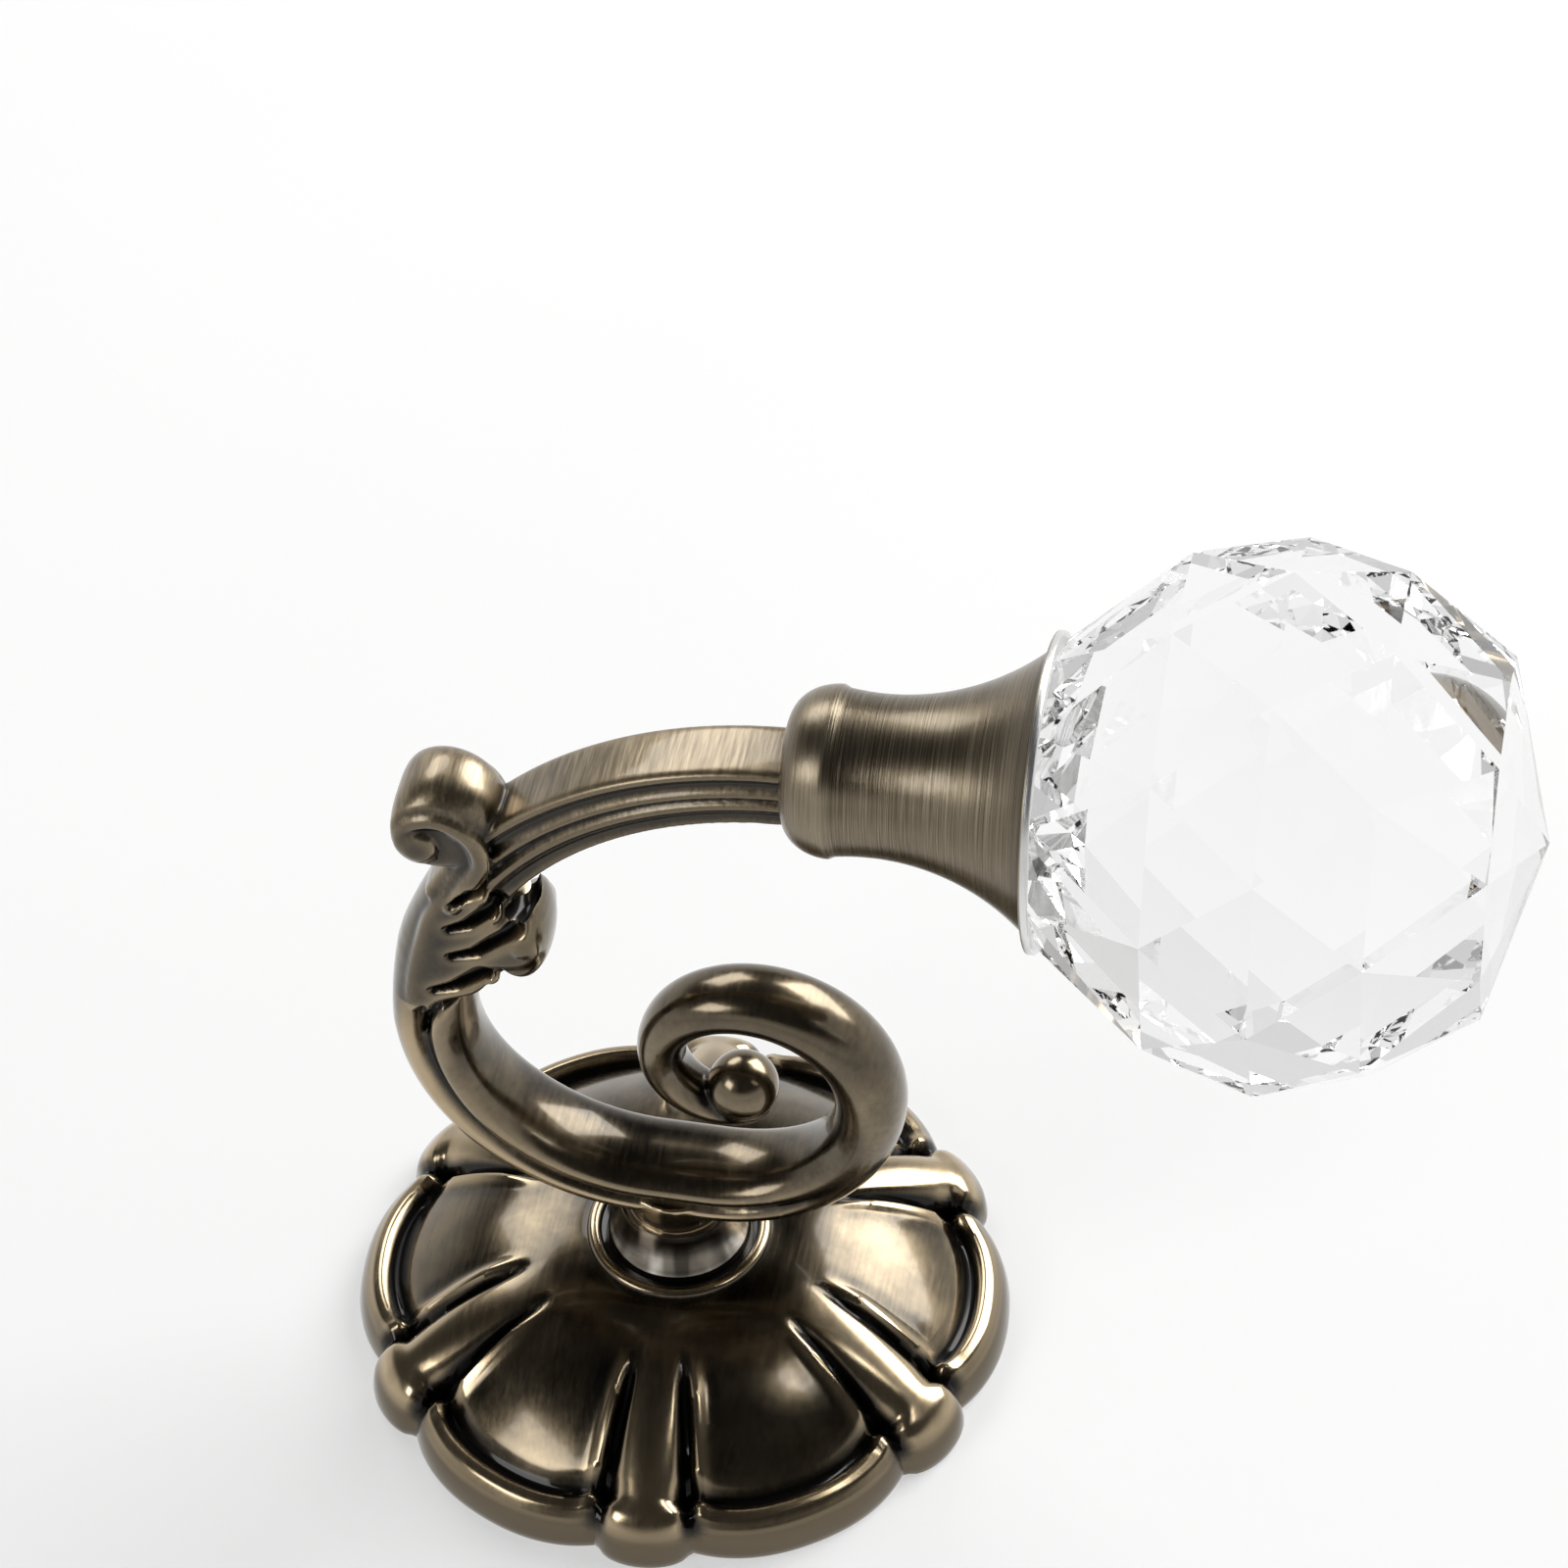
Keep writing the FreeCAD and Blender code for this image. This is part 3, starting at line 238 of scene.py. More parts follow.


# %% [markdown]
# The collar is polished and almost silvery. Its soft stripes of light and dark that run up it are painted
# reflections in its colour. The socket is dark like the casting on its sides and bare metal on its front. Both
# are turned, so scratches run round them: the noise is stretched along the turned mesh's own UV map, where U
# goes round and V goes along.

# %% Turned finishes
def turned_metal(name, shades, rough, scratch, coat, bare=None, painted_reflection_stripes=0):
    shader = Shader(name)
    uv = shader.node("ShaderNodeUVMap", {"uv_map": "turned"}, {})
    rings = shader.noise(shader.stretched(uv, (4.0, 260.0, 1.0)), 1.0, 4.0, 0.65)
    cloud = shader.noise(shader.place(), 110.0, 3.0, 0.5)
    hollow = shader.attribute("hollow")
    raised = shader.attribute("raised")
    # The collar's stripes are painted reflections: bands of dark and light painted into its colour round the turn.
    if painted_reflection_stripes:
        colour_pattern = shader.noise(shader.stretched(uv, (painted_reflection_stripes, 0.4, 1.0)), 1.0, 2.0, 0.5)
    else:
        colour_pattern = (rings * 0.8) + (cloud * 0.2)
    colour = shader.steps(colour_pattern, [(0.38, shades[0]), (0.52, shades[1]), (0.64, shades[2])])
    colour = shader.mix((raised * 0.8).clamp(), colour, (*shades[3], 1.0))
    colour = shader.mix(hollow, colour, (0.02, 0.018, 0.015, 1.0))
    if bare:
        colour = shader.mix(shader.attribute("bare"), colour, (*bare, 1.0))
    shader.set(Base_Color=colour, Metallic=1.0, Roughness=rough + (rings - 0.5) * 0.25)
    shader.set(Coat_Weight=coat, Coat_Roughness=0.12)
    shader.set(Normal=shader.bump(rings, scratch, 0.0001))
    return shader.material


# The collar's first three shades are its painted reflection stripes; the last one is its worn edges' colour.
COLLAR = turned_metal(
    "polished_collar",
    [(0.05, 0.043, 0.034), (0.2, 0.178, 0.148), (0.62, 0.58, 0.52), (0.7, 0.66, 0.6)],
    0.12,
    0.08,
    0.0,
    painted_reflection_stripes=12.0,
)
SOCKET = turned_metal(
    "brushed_socket",
    [(0.105, 0.084, 0.056), (0.2, 0.163, 0.112), (0.34, 0.285, 0.2), (0.55, 0.46, 0.33)],
    0.3,
    0.35,
    0.25,
    bare=(0.78, 0.78, 0.77),
)
print("made", COLLAR.name, SOCKET.name)


# %% [markdown]
# Cut glass is a clear shader. The facets do the rest: each one bends light a different way, so flat faces
# with crisp edges matter more here than anything in the material. The index is a little lower than a real
# glass's, which keeps the facets readable. A trace of polish marks makes its highlights less even.

# %% Glass finish
def cut_glass(name):
    shader = Shader(name)
    haze = shader.noise(shader.place(), 300.0, 3.0, 0.5)
    shader.set(Base_Color=(0.962, 0.963, 0.962, 1.0), Metallic=0.0, Roughness=haze * 0.012)
    shader.set(IOR=1.42, Transmission_Weight=1.0)
    return shader.material


GLASS = cut_glass("clear_glass")
print("made", GLASS.name)


# %% [markdown]
# The plate, the screw, the nut and the stud are plain zinc plated steel. They show only from behind. Their
# plating has a faint blotch and a fine grain.

# %% Plated steel finish
def plated_steel(name):
    shader = Shader(name)
    place = shader.place()
    blotch = shader.noise(place, 90.0, 4.0, 0.6)
    grain = shader.noise(place, 1500.0, 2.0, 0.5)
    colour = shader.steps(blotch, [(0.35, (0.45, 0.45, 0.43)), (0.65, (0.62, 0.62, 0.6))])
    shader.set(Base_Color=colour, Metallic=1.0, Roughness=0.32 + (blotch - 0.5) * 0.3)
    shader.set(Normal=shader.bump(grain, 0.15, 0.0001))
    return shader.material


STEEL = plated_steel("plated_steel")
for node in ("wall_plate", "centre_screw", "centre_nut", "socket_stud"):
    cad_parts[node].data.materials.clear()
    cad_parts[node].data.materials.append(STEEL)
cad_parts["crystal_ball"].data.materials.clear()
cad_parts["crystal_ball"].data.materials.append(GLASS)
print("made", STEEL.name)


# %% [markdown]
# A few helpers for meshes. Most pieces here are rings of points joined into a skin, so one function does
# that. Another measures how raised or hollow each point is, by comparing it with its neighbours' average,
# which is what the antique finish reads.

# %% Mesh helpers
def link(name, mesh):
    thing = bpy.data.objects.new(name, mesh)
    bpy.context.scene.collection.objects.link(thing)
    return thing


def skin(name, rings, ends=True, uv=None):
    """A mesh through rings of points in millimetres; ends closes the first and last ring with a face."""
    rings = np.asarray(rings, float)
    rows, count, _ = rings.shape
    points = (rings * MM).reshape(-1, 3)
    faces = []
    for row in range(rows - 1):
        for k in range(count):
            here = row * count + k
            beside = row * count + (k + 1) % count
            faces.append((here, beside, beside + count, here + count))
    if ends:
        faces.append(tuple(range(count))[::-1])
        faces.append(tuple(range((rows - 1) * count, rows * count)))
    mesh = bpy.data.meshes.new(name)
    mesh.from_pydata([tuple(point) for point in points], [], faces)
    if uv:
        layer = mesh.uv_layers.new(name=uv)
        for face in mesh.polygons:
            whole = len(face.vertices) == 4
            wraps = whole and max(v % count for v in face.vertices) - min(v % count for v in face.vertices) > 1
            for loop, v in zip(face.loop_indices, face.vertices):
                along, turn = divmod(v, count)
                turn = count if wraps and turn == 0 else turn
                layer.data[loop].uv = (turn / count, along / (rows - 1))
    mesh.validate()
    return face_out(mesh)


def face_out(mesh):
    work = bmesh.new()
    work.from_mesh(mesh)
    bmesh.ops.recalc_face_normals(work, faces=work.faces)
    if work.calc_volume(signed=True) < 0:
        bmesh.ops.reverse_faces(work, faces=work.faces)
    work.to_mesh(mesh)
    work.free()
    return mesh


def smooth_shade(mesh, angle=35):
    mesh.shade_smooth()
    mesh.set_sharp_from_angle(angle=math.radians(angle))


def measure_relief(mesh, raised_gain, hollow_gain, spread):
    """Stores how far each point stands above or below its surroundings, as raised and hollow from 0 to 1."""
    count = len(mesh.vertices)
    place = np.zeros(count * 3)
    mesh.vertices.foreach_get("co", place)
    place = place.reshape(-1, 3) / MM
    normal = np.zeros(count * 3)
    mesh.vertices.foreach_get("normal", normal)
    normal = normal.reshape(-1, 3)
    ends = np.zeros(len(mesh.edges) * 2, np.int32)
    mesh.edges.foreach_get("vertices", ends)
    ends = ends.reshape(-1, 2)
    near = np.maximum(np.bincount(ends.ravel(), minlength=count), 1)[:, None]

    def settle(values, rounds):
        for _ in range(rounds):
            total = np.zeros_like(values)
            np.add.at(total, ends[:, 0], values[ends[:, 1]])
            np.add.at(total, ends[:, 1], values[ends[:, 0]])
            values = total / near
        return values

    offset = ((place - settle(place, spread)) * normal).sum(1)[:, None]
    offset = settle(offset, 2)[:, 0]
    for name, values in (("raised", offset * raised_gain), ("hollow", -offset * hollow_gain)):
        layer = mesh.attributes.new(name, "FLOAT", "POINT")
        layer.data.foreach_set("value", np.clip(values, 0, 1).astype(np.float32))


def mark(mesh, name, rule):
    """Stores an attribute from a rule that takes each point's place in millimetres and its normal."""
    layer = mesh.attributes.new(name, "FLOAT", "POINT")
    for point, value in zip(mesh.vertices, layer.data):
        value.value = min(1.0, max(0.0, float(rule(point.co / MM, point.normal))))


print("mesh helpers ready")


# %% [markdown]
# The rose is a shallow dome with six ribs. One sector is sixty degrees wide with its rib in the middle. Its
# section is a closed loop from the hole, over the seat and the bead ring, out to the rim, and back through
# the hollow underneath. The heights come from formulas: a power curve for the panel, an arched crown for
# the rib, a groove and a soft ridge beside it, and a lip that runs round inside the rim.

# %% One sector of the rose
SEAT_RADIUS, SEAT_HEIGHT = 8.55, 12.0
NOTCH, LOBE_TIP, RIB_TIP = 31.2, 33.1, 33.2
RIM_HEIGHT = 1.0
SECTOR_COLUMNS, PANEL_ROWS = 60, 76


def ease(low, high, value):
    share = np.clip((value - low) / (high - low), 0, 1)
    return share * share * (3 - 2 * share)


def panel_height(radius):
    return SEAT_HEIGHT - 8.6 * (np.maximum(0, radius - SEAT_RADIUS) / 20.5) ** 2.3


def rib_half(radius):
    return 1.1 + 2.8 * (radius - SEAT_RADIUS) / (NOTCH - SEAT_RADIUS)


def beside_rib(radius):
    """The middle of the groove, the ridge's crest and the ridge's foot, in millimetres from the rib."""
    taper = math.sqrt(radius / NOTCH)
    return [rib_half(radius) + taper * step for step in (0.6, 1.95, 2.9)]


def rim_radius(angle):
    groove = beside_rib(NOTCH)[0] / NOTCH
    if angle <= groove:
        return NOTCH + (RIB_TIP - NOTCH) * math.sqrt(max(0.0, 1 - (angle / groove) ** 2))
    share = (angle - groove) / (math.pi / 6 - groove)
    return NOTCH + (LOBE_TIP - NOTCH) * (1 - (1 - share) ** 2.6)


def rose_height(radius, inset, aside):
    """The height of the rose's face, aside in millimetres from the middle of its rib."""
    height = panel_height(radius)
    knots = [0.0, 0.3, 0.8, 1.6, 2.5, 3.2, 3.9, 4.6, 5.4]
    ditch = 3.3 + (height - 3.3) / 4
    slopes = [RIM_HEIGHT, 2.4, 3.4, 4.35, 4.7, 4.3, ditch, ditch * 0.35 + height * 0.65, height]
    if inset < 5.4:
        height = float(np.interp(inset, knots, slopes))
    way = max(0.0, radius - SEAT_RADIUS) / 23.5
    crest = SEAT_HEIGHT - 7.4 * way ** 2
    if inset < 2.5:
        crest = RIM_HEIGHT + (crest - RIM_HEIGHT) * math.sqrt(max(0.0, 1 - (1 - inset / 2.5) ** 2))
    half = rib_half(radius)
    groove, ridge, foot = beside_rib(radius)
    fade = float(ease(15.0, 20.5, radius)) * min(1.0, inset / 3.0)
    dip = 1.15 * math.exp(-((aside - groove) / 0.5) ** 2)
    swell = 0.6 * math.exp(-((aside - ridge) / 0.75) ** 2)
    height += fade * (swell - dip)
    if aside < half:
        height += (crest - height) * (1 - (aside / half) ** 2.3) ** 0.6
    return height


def rose_section(angle):
    """The closed loop of radius and height at this angle from the rib."""
    rim = rim_radius(abs(angle))
    loop = [(2.9, 10.8), (2.9, 11.7), (3.1, 12.0), (5.0, 12.0), (7.75, 12.0)]
    for step in range(9):
        bend = math.pi * (1 - step / 8)
        loop.append((SEAT_RADIUS + 0.72 * math.cos(bend), SEAT_HEIGHT + 0.05 + 0.62 * math.sin(bend)))
    for step in range(1, PANEL_ROWS + 1):
        way = step / PANEL_ROWS
        way = way + 0.12 * math.sin(math.pi * way) * way
        radius = 9.27 + (rim - 9.27) * min(1.0, way)
        loop.append((radius, rose_height(radius, rim - radius, abs(angle) * radius)))
    loop += [(rim, 0.5), (rim - 0.15, 0.0), (29.0, 0.0), (26.6, 0.0), (26.6, 0.6), (23.0, 3.4)]
    loop += [(19.0, 6.4), (13.5, 7.95), (8.55, 9.4), (5.5, 9.4), (2.9, 9.4)]
    return loop


def rose_sector():
    columns = [(-0.5 + k / SECTOR_COLUMNS) * math.pi / 3 for k in range(SECTOR_COLUMNS + 1)]
    rings = []
    for angle in columns:
        loop = rose_section(angle)
        rings.append([(radius * math.cos(angle), radius * math.sin(angle), height) for radius, height in loop])
    return skin("rose_sector", rings, ends=False)


sector = link("rose_sector", rose_sector())
print("rose sector:", len(sector.data.polygons), "faces")


# %% [markdown]
# Six copies make the rose. Geometry Nodes are a good fit for such a repeat: a ring of points, an instance of
# the sector on each, then the copies are made real and their shared edges welded. The count, the first
# angle and the weld distance are named inputs, set by the socket's identifier before the tree is first run.

# %% Repeat the sector
def tree_with(name, inputs):
    tree = bpy.data.node_groups.new(name, "GeometryNodeTree")
    for label, kind in inputs:
        tree.interface.new_socket(label, in_out="INPUT", socket_type=kind)
    tree.interface.new_socket("Geometry", in_out="OUTPUT", socket_type="NodeSocketGeometry")
    return tree


def node_in(tree, kind, settings=None, **values):
    node = tree.nodes.new(kind)
    for key, value in (settings or {}).items():
        setattr(node, key, value)
    for key, value in values.items():
        socket = node.inputs[key.replace("_", " ")]
        if hasattr(value, "is_output"):
            tree.links.new(value, socket)
        else:
            socket.default_value = value
    return node


def run_tree(name, base, tree, values):
    """Gives base the tree, sets its inputs, and returns the result as a plain mesh."""
    modifier = base.modifiers.new(name, "NODES")
    modifier.node_group = tree
    for item in tree.interface.items_tree:
        if item.in_out == "INPUT" and item.name in values:
            modifier[item.identifier] = values[item.name]
    bpy.context.view_layer.update()
    shown = base.evaluated_get(bpy.context.evaluated_depsgraph_get())
    mesh = bpy.data.meshes.new_from_object(shown)
    base.modifiers.remove(modifier)
    mesh.name = name
    return mesh


def wheel_tree():
    tree = tree_with("wheel_of_sectors", [
        ("Geometry", "NodeSocketGeometry"),
        ("Count", "NodeSocketInt"),
        ("First Angle", "NodeSocketFloat"),
        ("Weld", "NodeSocketFloat"),
        ("Finish", "NodeSocketMaterial"),
    ])
    given = tree.nodes.new("NodeGroupInput").outputs
    points = node_in(tree, "GeometryNodePoints", Count=given["Count"]).outputs[0]
    index = tree.nodes.new("GeometryNodeInputIndex").outputs[0]
    step = node_in(tree, "ShaderNodeMath", {"operation": "DIVIDE"})
    step.inputs[0].default_value = 2 * math.pi
    tree.links.new(given["Count"], step.inputs[1])
    angle = node_in(tree, "ShaderNodeMath", {"operation": "MULTIPLY_ADD"})
    for socket, source in zip(angle.inputs, (index, step.outputs[0], given["First Angle"])):
        tree.links.new(source, socket)
    turn = node_in(tree, "ShaderNodeCombineXYZ", Z=angle.outputs[0]).outputs[0]
    placed = node_in(tree, "GeometryNodeInstanceOnPoints", Points=points, Instance=given["Geometry"])
    tree.links.new(turn, placed.inputs["Rotation"])
    real = node_in(tree, "GeometryNodeRealizeInstances", Geometry=placed.outputs[0]).outputs[0]
    weld = node_in(tree, "GeometryNodeMergeByDistance", Geometry=real, Distance=given["Weld"]).outputs[0]
    done = node_in(tree, "GeometryNodeSetMaterial", Geometry=weld, Material=given["Finish"]).outputs[0]
    tree.links.new(done, tree.nodes.new("NodeGroupOutput").inputs[0])
    return tree


rose_values = {
    "Count": 6,
    "First Angle": math.radians(-90 + 4.4),
    "Weld": 0.00001,
    "Finish": CASTING,
}
rose = link("rose_cast", face_out(run_tree("rose_cast", sector, wheel_tree(), rose_values)))
bpy.data.objects.remove(sector)
smooth_shade(rose.data, 40)
measure_relief(rose.data, 4.0, 4.2, 14)
# Painted shade: the rose is painted darker towards the wall, below about 4.3 mm high, under its rim's crest.
mark(rose.data, "toned", lambda place, normal: min(1.0, (4.3 - place.z) * 0.8) * 0.8)
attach(rose, "root")
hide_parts("rosette")
print("rose:", len(rose.data.polygons), "faces")


# %% [markdown]
# The hook is one casting, so its look is in how its forms flow into each other. Each form is made as its
# own closed skin first: the bar, the arm, the volute's band, its core and eyes, and the leaf. They overlap,
# a fine voxel remesh unites them, and a little smoothing rounds the joins as casting sand would.

# %% The bar of the hook
SPIRAL_MIDDLE, SHRINK, SPIRAL_TURN = (6.9, 38.2), 0.759, 386.0
BAR_HEIGHT, BOWL_LEFT, BOWL_RADIUS, RISE_RADIUS, RISE_TURN = 21.1, 22.8, 20.8, 56.0, 21.0
BEADED = [(-1.0, 0.0), (-0.94, 0.38), (-0.78, 0.74), (-0.55, 0.95), (-0.33, 1.0), (-0.14, 0.93), (-0.02, 0.78),
          (0.07, 0.7), (0.16, 0.78), (0.28, 0.89), (0.44, 0.93), (0.6, 0.88), (0.78, 0.72), (0.93, 0.42), (1.0, 0.0)]


def bar_line(turn):
    """The middle of the bar, as X and Z, where its line has turned this far from straight down."""
    angle = math.radians(turn)
    if turn <= 90:
        reach = RISE_RADIUS if turn <= 0 else BOWL_RADIUS
        return (-BOWL_LEFT + reach * (1 - math.cos(angle)), BAR_HEIGHT + BOWL_RADIUS - reach * math.sin(angle))
    lean = math.atan(-math.log(SHRINK) * 2 / math.pi)
    reach = (SPIRAL_MIDDLE[1] - BAR_HEIGHT) / math.cos(lean) * SHRINK ** ((turn - 90) / 90)
    place = math.radians(turn - 180) - lean
    return (SPIRAL_MIDDLE[0] + reach * math.cos(place), SPIRAL_MIDDLE[1] + reach * math.sin(place))


def outward(turn):
    return (-math.cos(math.radians(turn)), -math.sin(math.radians(turn)))


def bar_halves(turn):
    turns = [-RISE_TURN, -10.5, 0, 45, 90, 180, 90 + SPIRAL_TURN]
    outer = np.interp(turn, turns, [1.9, 3.6, 4.1, 3.7, 3.4, 3.5, 1.6])
    inner = np.interp(turn, turns, [1.1, 3.6, 4.1, 3.7, 3.4, 3.5, 1.6])
    width = np.interp(turn, turns, [3.9, 4.1, 4.6, 4.9, 4.9, 4.4, 2.4])
    return float(outer), float(inner), float(width)


def between(a, b, c, d, t):
    """The point a share t of the way from b to c, on a smooth curve that also passes a and d."""
    bend = 2 * a - 5 * b + 4 * c - d
    return 0.5 * (2 * b + (c - a) * t + bend * t ** 2 + (3 * b - a - 3 * c + d) * t ** 3)


def rounded(points, count):
    """A smooth closed outline through these points, resampled evenly, as a spline would draw it."""
    points = np.asarray(points, float)
    many = len(points)
    steps = np.linspace(0, many, count, endpoint=False)
    result = []
    for step in steps:
        k = int(step)
        t = step - k
        result.append(between(*(points[(k + shift) % many] for shift in (-1, 0, 1, 2)), t))
    return np.array(result)


def bar_ring(turn):
    outer, inner, width = bar_halves(turn)
    x, z = bar_line(turn)
    out = outward(turn)
    bead = float((1 - ease(90, 158, turn)) * ease(-7, -1, turn))
    half = []
    for n, y in BEADED:
        oval = math.sqrt(max(0.0, 1 - n * n)) ** 0.95
        half.append((n, oval + (y - oval) * bead))
    loop = half + [(n, -y) for n, y in reversed(half[1:-1])]
    ring = rounded(loop, 72)
    depths = [n * (outer if n > 0 else inner) for n, y in ring]
    return [(x + out[0] * d, y * width, z + out[1] * d) for d, (n, y) in zip(depths, ring)]


bar_turns = np.linspace(-RISE_TURN, 90 + SPIRAL_TURN, 260)
forms = [link("hook_bar", skin("hook_bar", [bar_ring(turn) for turn in bar_turns]))]
print("bar:", len(forms[0].data.polygons), "faces")


# %% [markdown]
# Round forms, such as the ball at the spiral's tip, the volute's core and the leaf's lobes, all come from
# one helper: a tube along a few points whose radius changes and whose ends are round.

# %% Tubes with round ends
def spline(points, count):
    """Points along a smooth open curve through the given ones; extra columns, such as radii, follow too."""
    points = np.asarray(points, float)
    padded = np.vstack([2 * points[0] - points[1], points, 2 * points[-1] - points[-2]])
    result = []
    for step in np.linspace(0, len(points) - 1, count):
        k = min(int(step), len(points) - 2)
        t = step - k
        result.append(between(*padded[k:k + 4], t))
    return np.array(result)


def finger(name, points, count=24, around=20, caps=6):
    """A tube through points of x, y, z and radius, closed by a round cap at each end."""
    line = spline(points, count)
    way = np.gradient(line[:, :3], axis=0)
    way /= np.linalg.norm(way, axis=1)[:, None]
    places, radii, ways = [], [], []
    for step in range(caps):
        bend = math.pi / 2 * step / caps
        places.append(line[0, :3] - way[0] * line[0, 3] * math.cos(bend))
        radii.append(line[0, 3] * math.sin(bend) + 0.001)
        ways.append(way[0])
    for k in range(len(line)):
        places.append(line[k, :3])
        radii.append(line[k, 3])
        ways.append(way[k])
    for step in range(caps - 1, -1, -1):
        bend = math.pi / 2 * step / caps
        places.append(line[-1, :3] + way[-1] * line[-1, 3] * math.cos(bend))
        radii.append(line[-1, 3] * math.sin(bend) + 0.001)
        ways.append(way[-1])
    side = np.cross(ways[0], (0.31, 0.87, 0.38))
    rings = []
    for place, radius, ahead in zip(places, radii, ways):
        side = side - ahead * np.dot(side, ahead)
        side /= np.linalg.norm(side)
        other = np.cross(ahead, side)
        turns = [2 * math.pi * k / around for k in range(around)]
        rings.append([place + radius * (side * math.cos(t) + other * math.sin(t)) for t in turns])
    return link(name, skin(name, rings))


end_turn = 90 + SPIRAL_TURN
tip_x, tip_z = bar_line(end_turn)
tip_out = outward(end_turn)
ball_place = (tip_x - tip_out[0] * 2.5, 0, tip_z - tip_out[1] * 2.5)
forms.append(finger("tip_ball", [(*ball_place, 3.5), (ball_place[0], 0.02, ball_place[2], 3.5)], 2, 40, 14))
forms.append(finger("tip_neck", [(tip_x, 0, tip_z, 1.8), (*ball_place, 1.6)], 6, 24))
boss_turns = np.linspace(0, 2 * math.pi, 72, endpoint=False)
boss = [[(5.0 * math.cos(t), 5.0 * math.sin(t), z) for t in boss_turns] for z in (17.2, 17.9, 20.4)]
forms.append(link("boss", skin("boss", boss)))
print("tip and boss made")


# %% [markdown]
# The arm is a bent bar with one section all along: flat on the outside, a hollow down each side, a thin
# sharp edge under it and a second hollow below. Its section is swept along an arc that ends straight into
# the socket.

# %% The arm
SOCKET_BACK = (12.95, 80.8)
BEND_RADIUS, ARM_DROP = 38.5, 1.6
TILT = math.radians(1.75)
ALONG = np.array((math.cos(TILT), 0.0, math.sin(TILT)))
UPWARD = np.array((-math.sin(TILT), 0.0, math.cos(TILT)))
BACK = np.array((SOCKET_BACK[0], 0.0, SOCKET_BACK[1]))
ARM_MIDDLE = BACK - UPWARD * BEND_RADIUS


def hollow_side(top, bottom, wide, sag, steps):
    """Points down one side between two heights, pulled in by an arch of this depth."""
    share = np.linspace(0, 1, steps)
    return [(wide - sag * math.sin(math.pi * s) ** 0.8, top + (bottom - top) * s) for s in share]


arm_half = [(0.0, 3.65), (1.5, 3.65), (2.7, 3.6), (3.2, 3.42), (3.4, 3.1)]
arm_half += hollow_side(2.8, 0.9, 3.4, 0.7, 9)
arm_half += [(3.45, 0.75), (3.45, 0.55)] + hollow_side(0.4, -0.75, 3.25, 0.85, 7)
arm_half += [(3.2, -0.95), (3.1, -1.4)] + hollow_side(-1.6, -3.2, 2.9, 0.35, 7)
arm_half += [(2.2, -3.55), (1.2, -3.65), (0.0, -3.65)]
arm_loop = arm_half + [(-y, n) for y, n in reversed(arm_half[1:-1])]


def arm_ring(turn, beyond=0.0):
    """The arm's section, this many degrees back from the socket, or beyond it into its recess."""
    angle = math.pi / 2 + TILT + math.radians(turn)
    ray = np.array((math.cos(angle), 0.0, math.sin(angle)))
    reach = BEND_RADIUS - ARM_DROP
    return [ARM_MIDDLE + ray * (reach + n) + ALONG * beyond + np.array((0, y, 0)) for y, n in arm_loop]


arm_rings = [arm_ring(turn) for turn in np.linspace(61, 0, 90)] + [arm_ring(0, 2.38)]
forms.append(link("arm", skin("arm", arm_rings)))
print("arm:", len(forms[-1].data.polygons), "faces")


# %% [markdown]
# The volute is a strap that leaves the bar, bends over the arm's end and rolls up into a barrel. The barrel is
# fullest in its middle. A raised rim runs up each edge of the strap, round the roll, and ends at a small eye.

# %% The volute
BARREL = (-19.2, 70.3)
STRAP = [(-20.6, 56.5), (-19.4, 60.0), (-18.2, 62.8), (-16.95, 65.6), (-17.0, 68.4), (-18.5, 70.5)]
CURL = [(-18.9, 60.6, 0.8), (-17.2, 63.6, 0.95), (-15.6, 66.9, 0.95), (-16.4, 70.2, 0.9), (-19.1, 72.1, 0.85),
        (-21.7, 71.6, 0.8), (-23.0, 70.1, 0.75), (-23.0, 68.2, 0.7), (-21.7, 66.9, 0.6), (-20.2, 67.5, 0.5)]


def strap_ring(place, ahead, share):
    left = np.array((-ahead[1], ahead[0]))
    thick = 1.45 - 0.15 * share
    wide = 3.9 + 0.25 * share
    loop = [(-thick, 0.0), (-thick, wide * 0.8), (-thick * 0.8, wide * 0.96), (0, wide), (thick * 0.8, wide * 0.96),
            (thick, wide * 0.8), (thick, 0.0)]
    loop = loop + [(n, -y) for n, y in reversed(loop[1:-1])]
    return [(place[0] + left[0] * n, y, place[1] + left[1] * n) for n, y in rounded(loop, 48)]


def disc_ring(middle, radius, y, count=64):
    turns = np.linspace(0, 2 * math.pi, count, endpoint=False)
    return [(middle[0] + radius * math.cos(t), y, middle[1] + radius * math.sin(t)) for t in turns]


strap = spline(STRAP, 60)
strap_way = np.gradient(strap, axis=0)
strap_way /= np.linalg.norm(strap_way, axis=1)[:, None]
strap_rings = [strap_ring(strap[k], strap_way[k], k / 59) for k in range(60)]
forms.append(link("strap", skin("strap", strap_rings)))
barrel_rings = []
for y in np.linspace(-4.1, 4.1, 43):
    share = (abs(y) / 4.4) ** 3.0
    core = (BARREL[0] - 1.2 * share, BARREL[1] - 0.7 * share)
    barrel_rings.append(disc_ring(core, 5.1 - 1.5 * share, y))
forms.append(link("barrel", skin("barrel", barrel_rings)))
eye_sides = ((-5.0, 1.2), (-4.85, 1.7), (4.85, 1.7), (5.0, 1.2))
eye_rings = [disc_ring((-21.3, 68.75), radius, y) for y, radius in eye_sides]
forms.append(link("eyes", skin("eyes", eye_rings)))
for side in (1, -1):
    forms.append(finger("curl", [(x, side * 4.05, z, radius) for x, z, radius in CURL], 90, 18))
print("volute made")


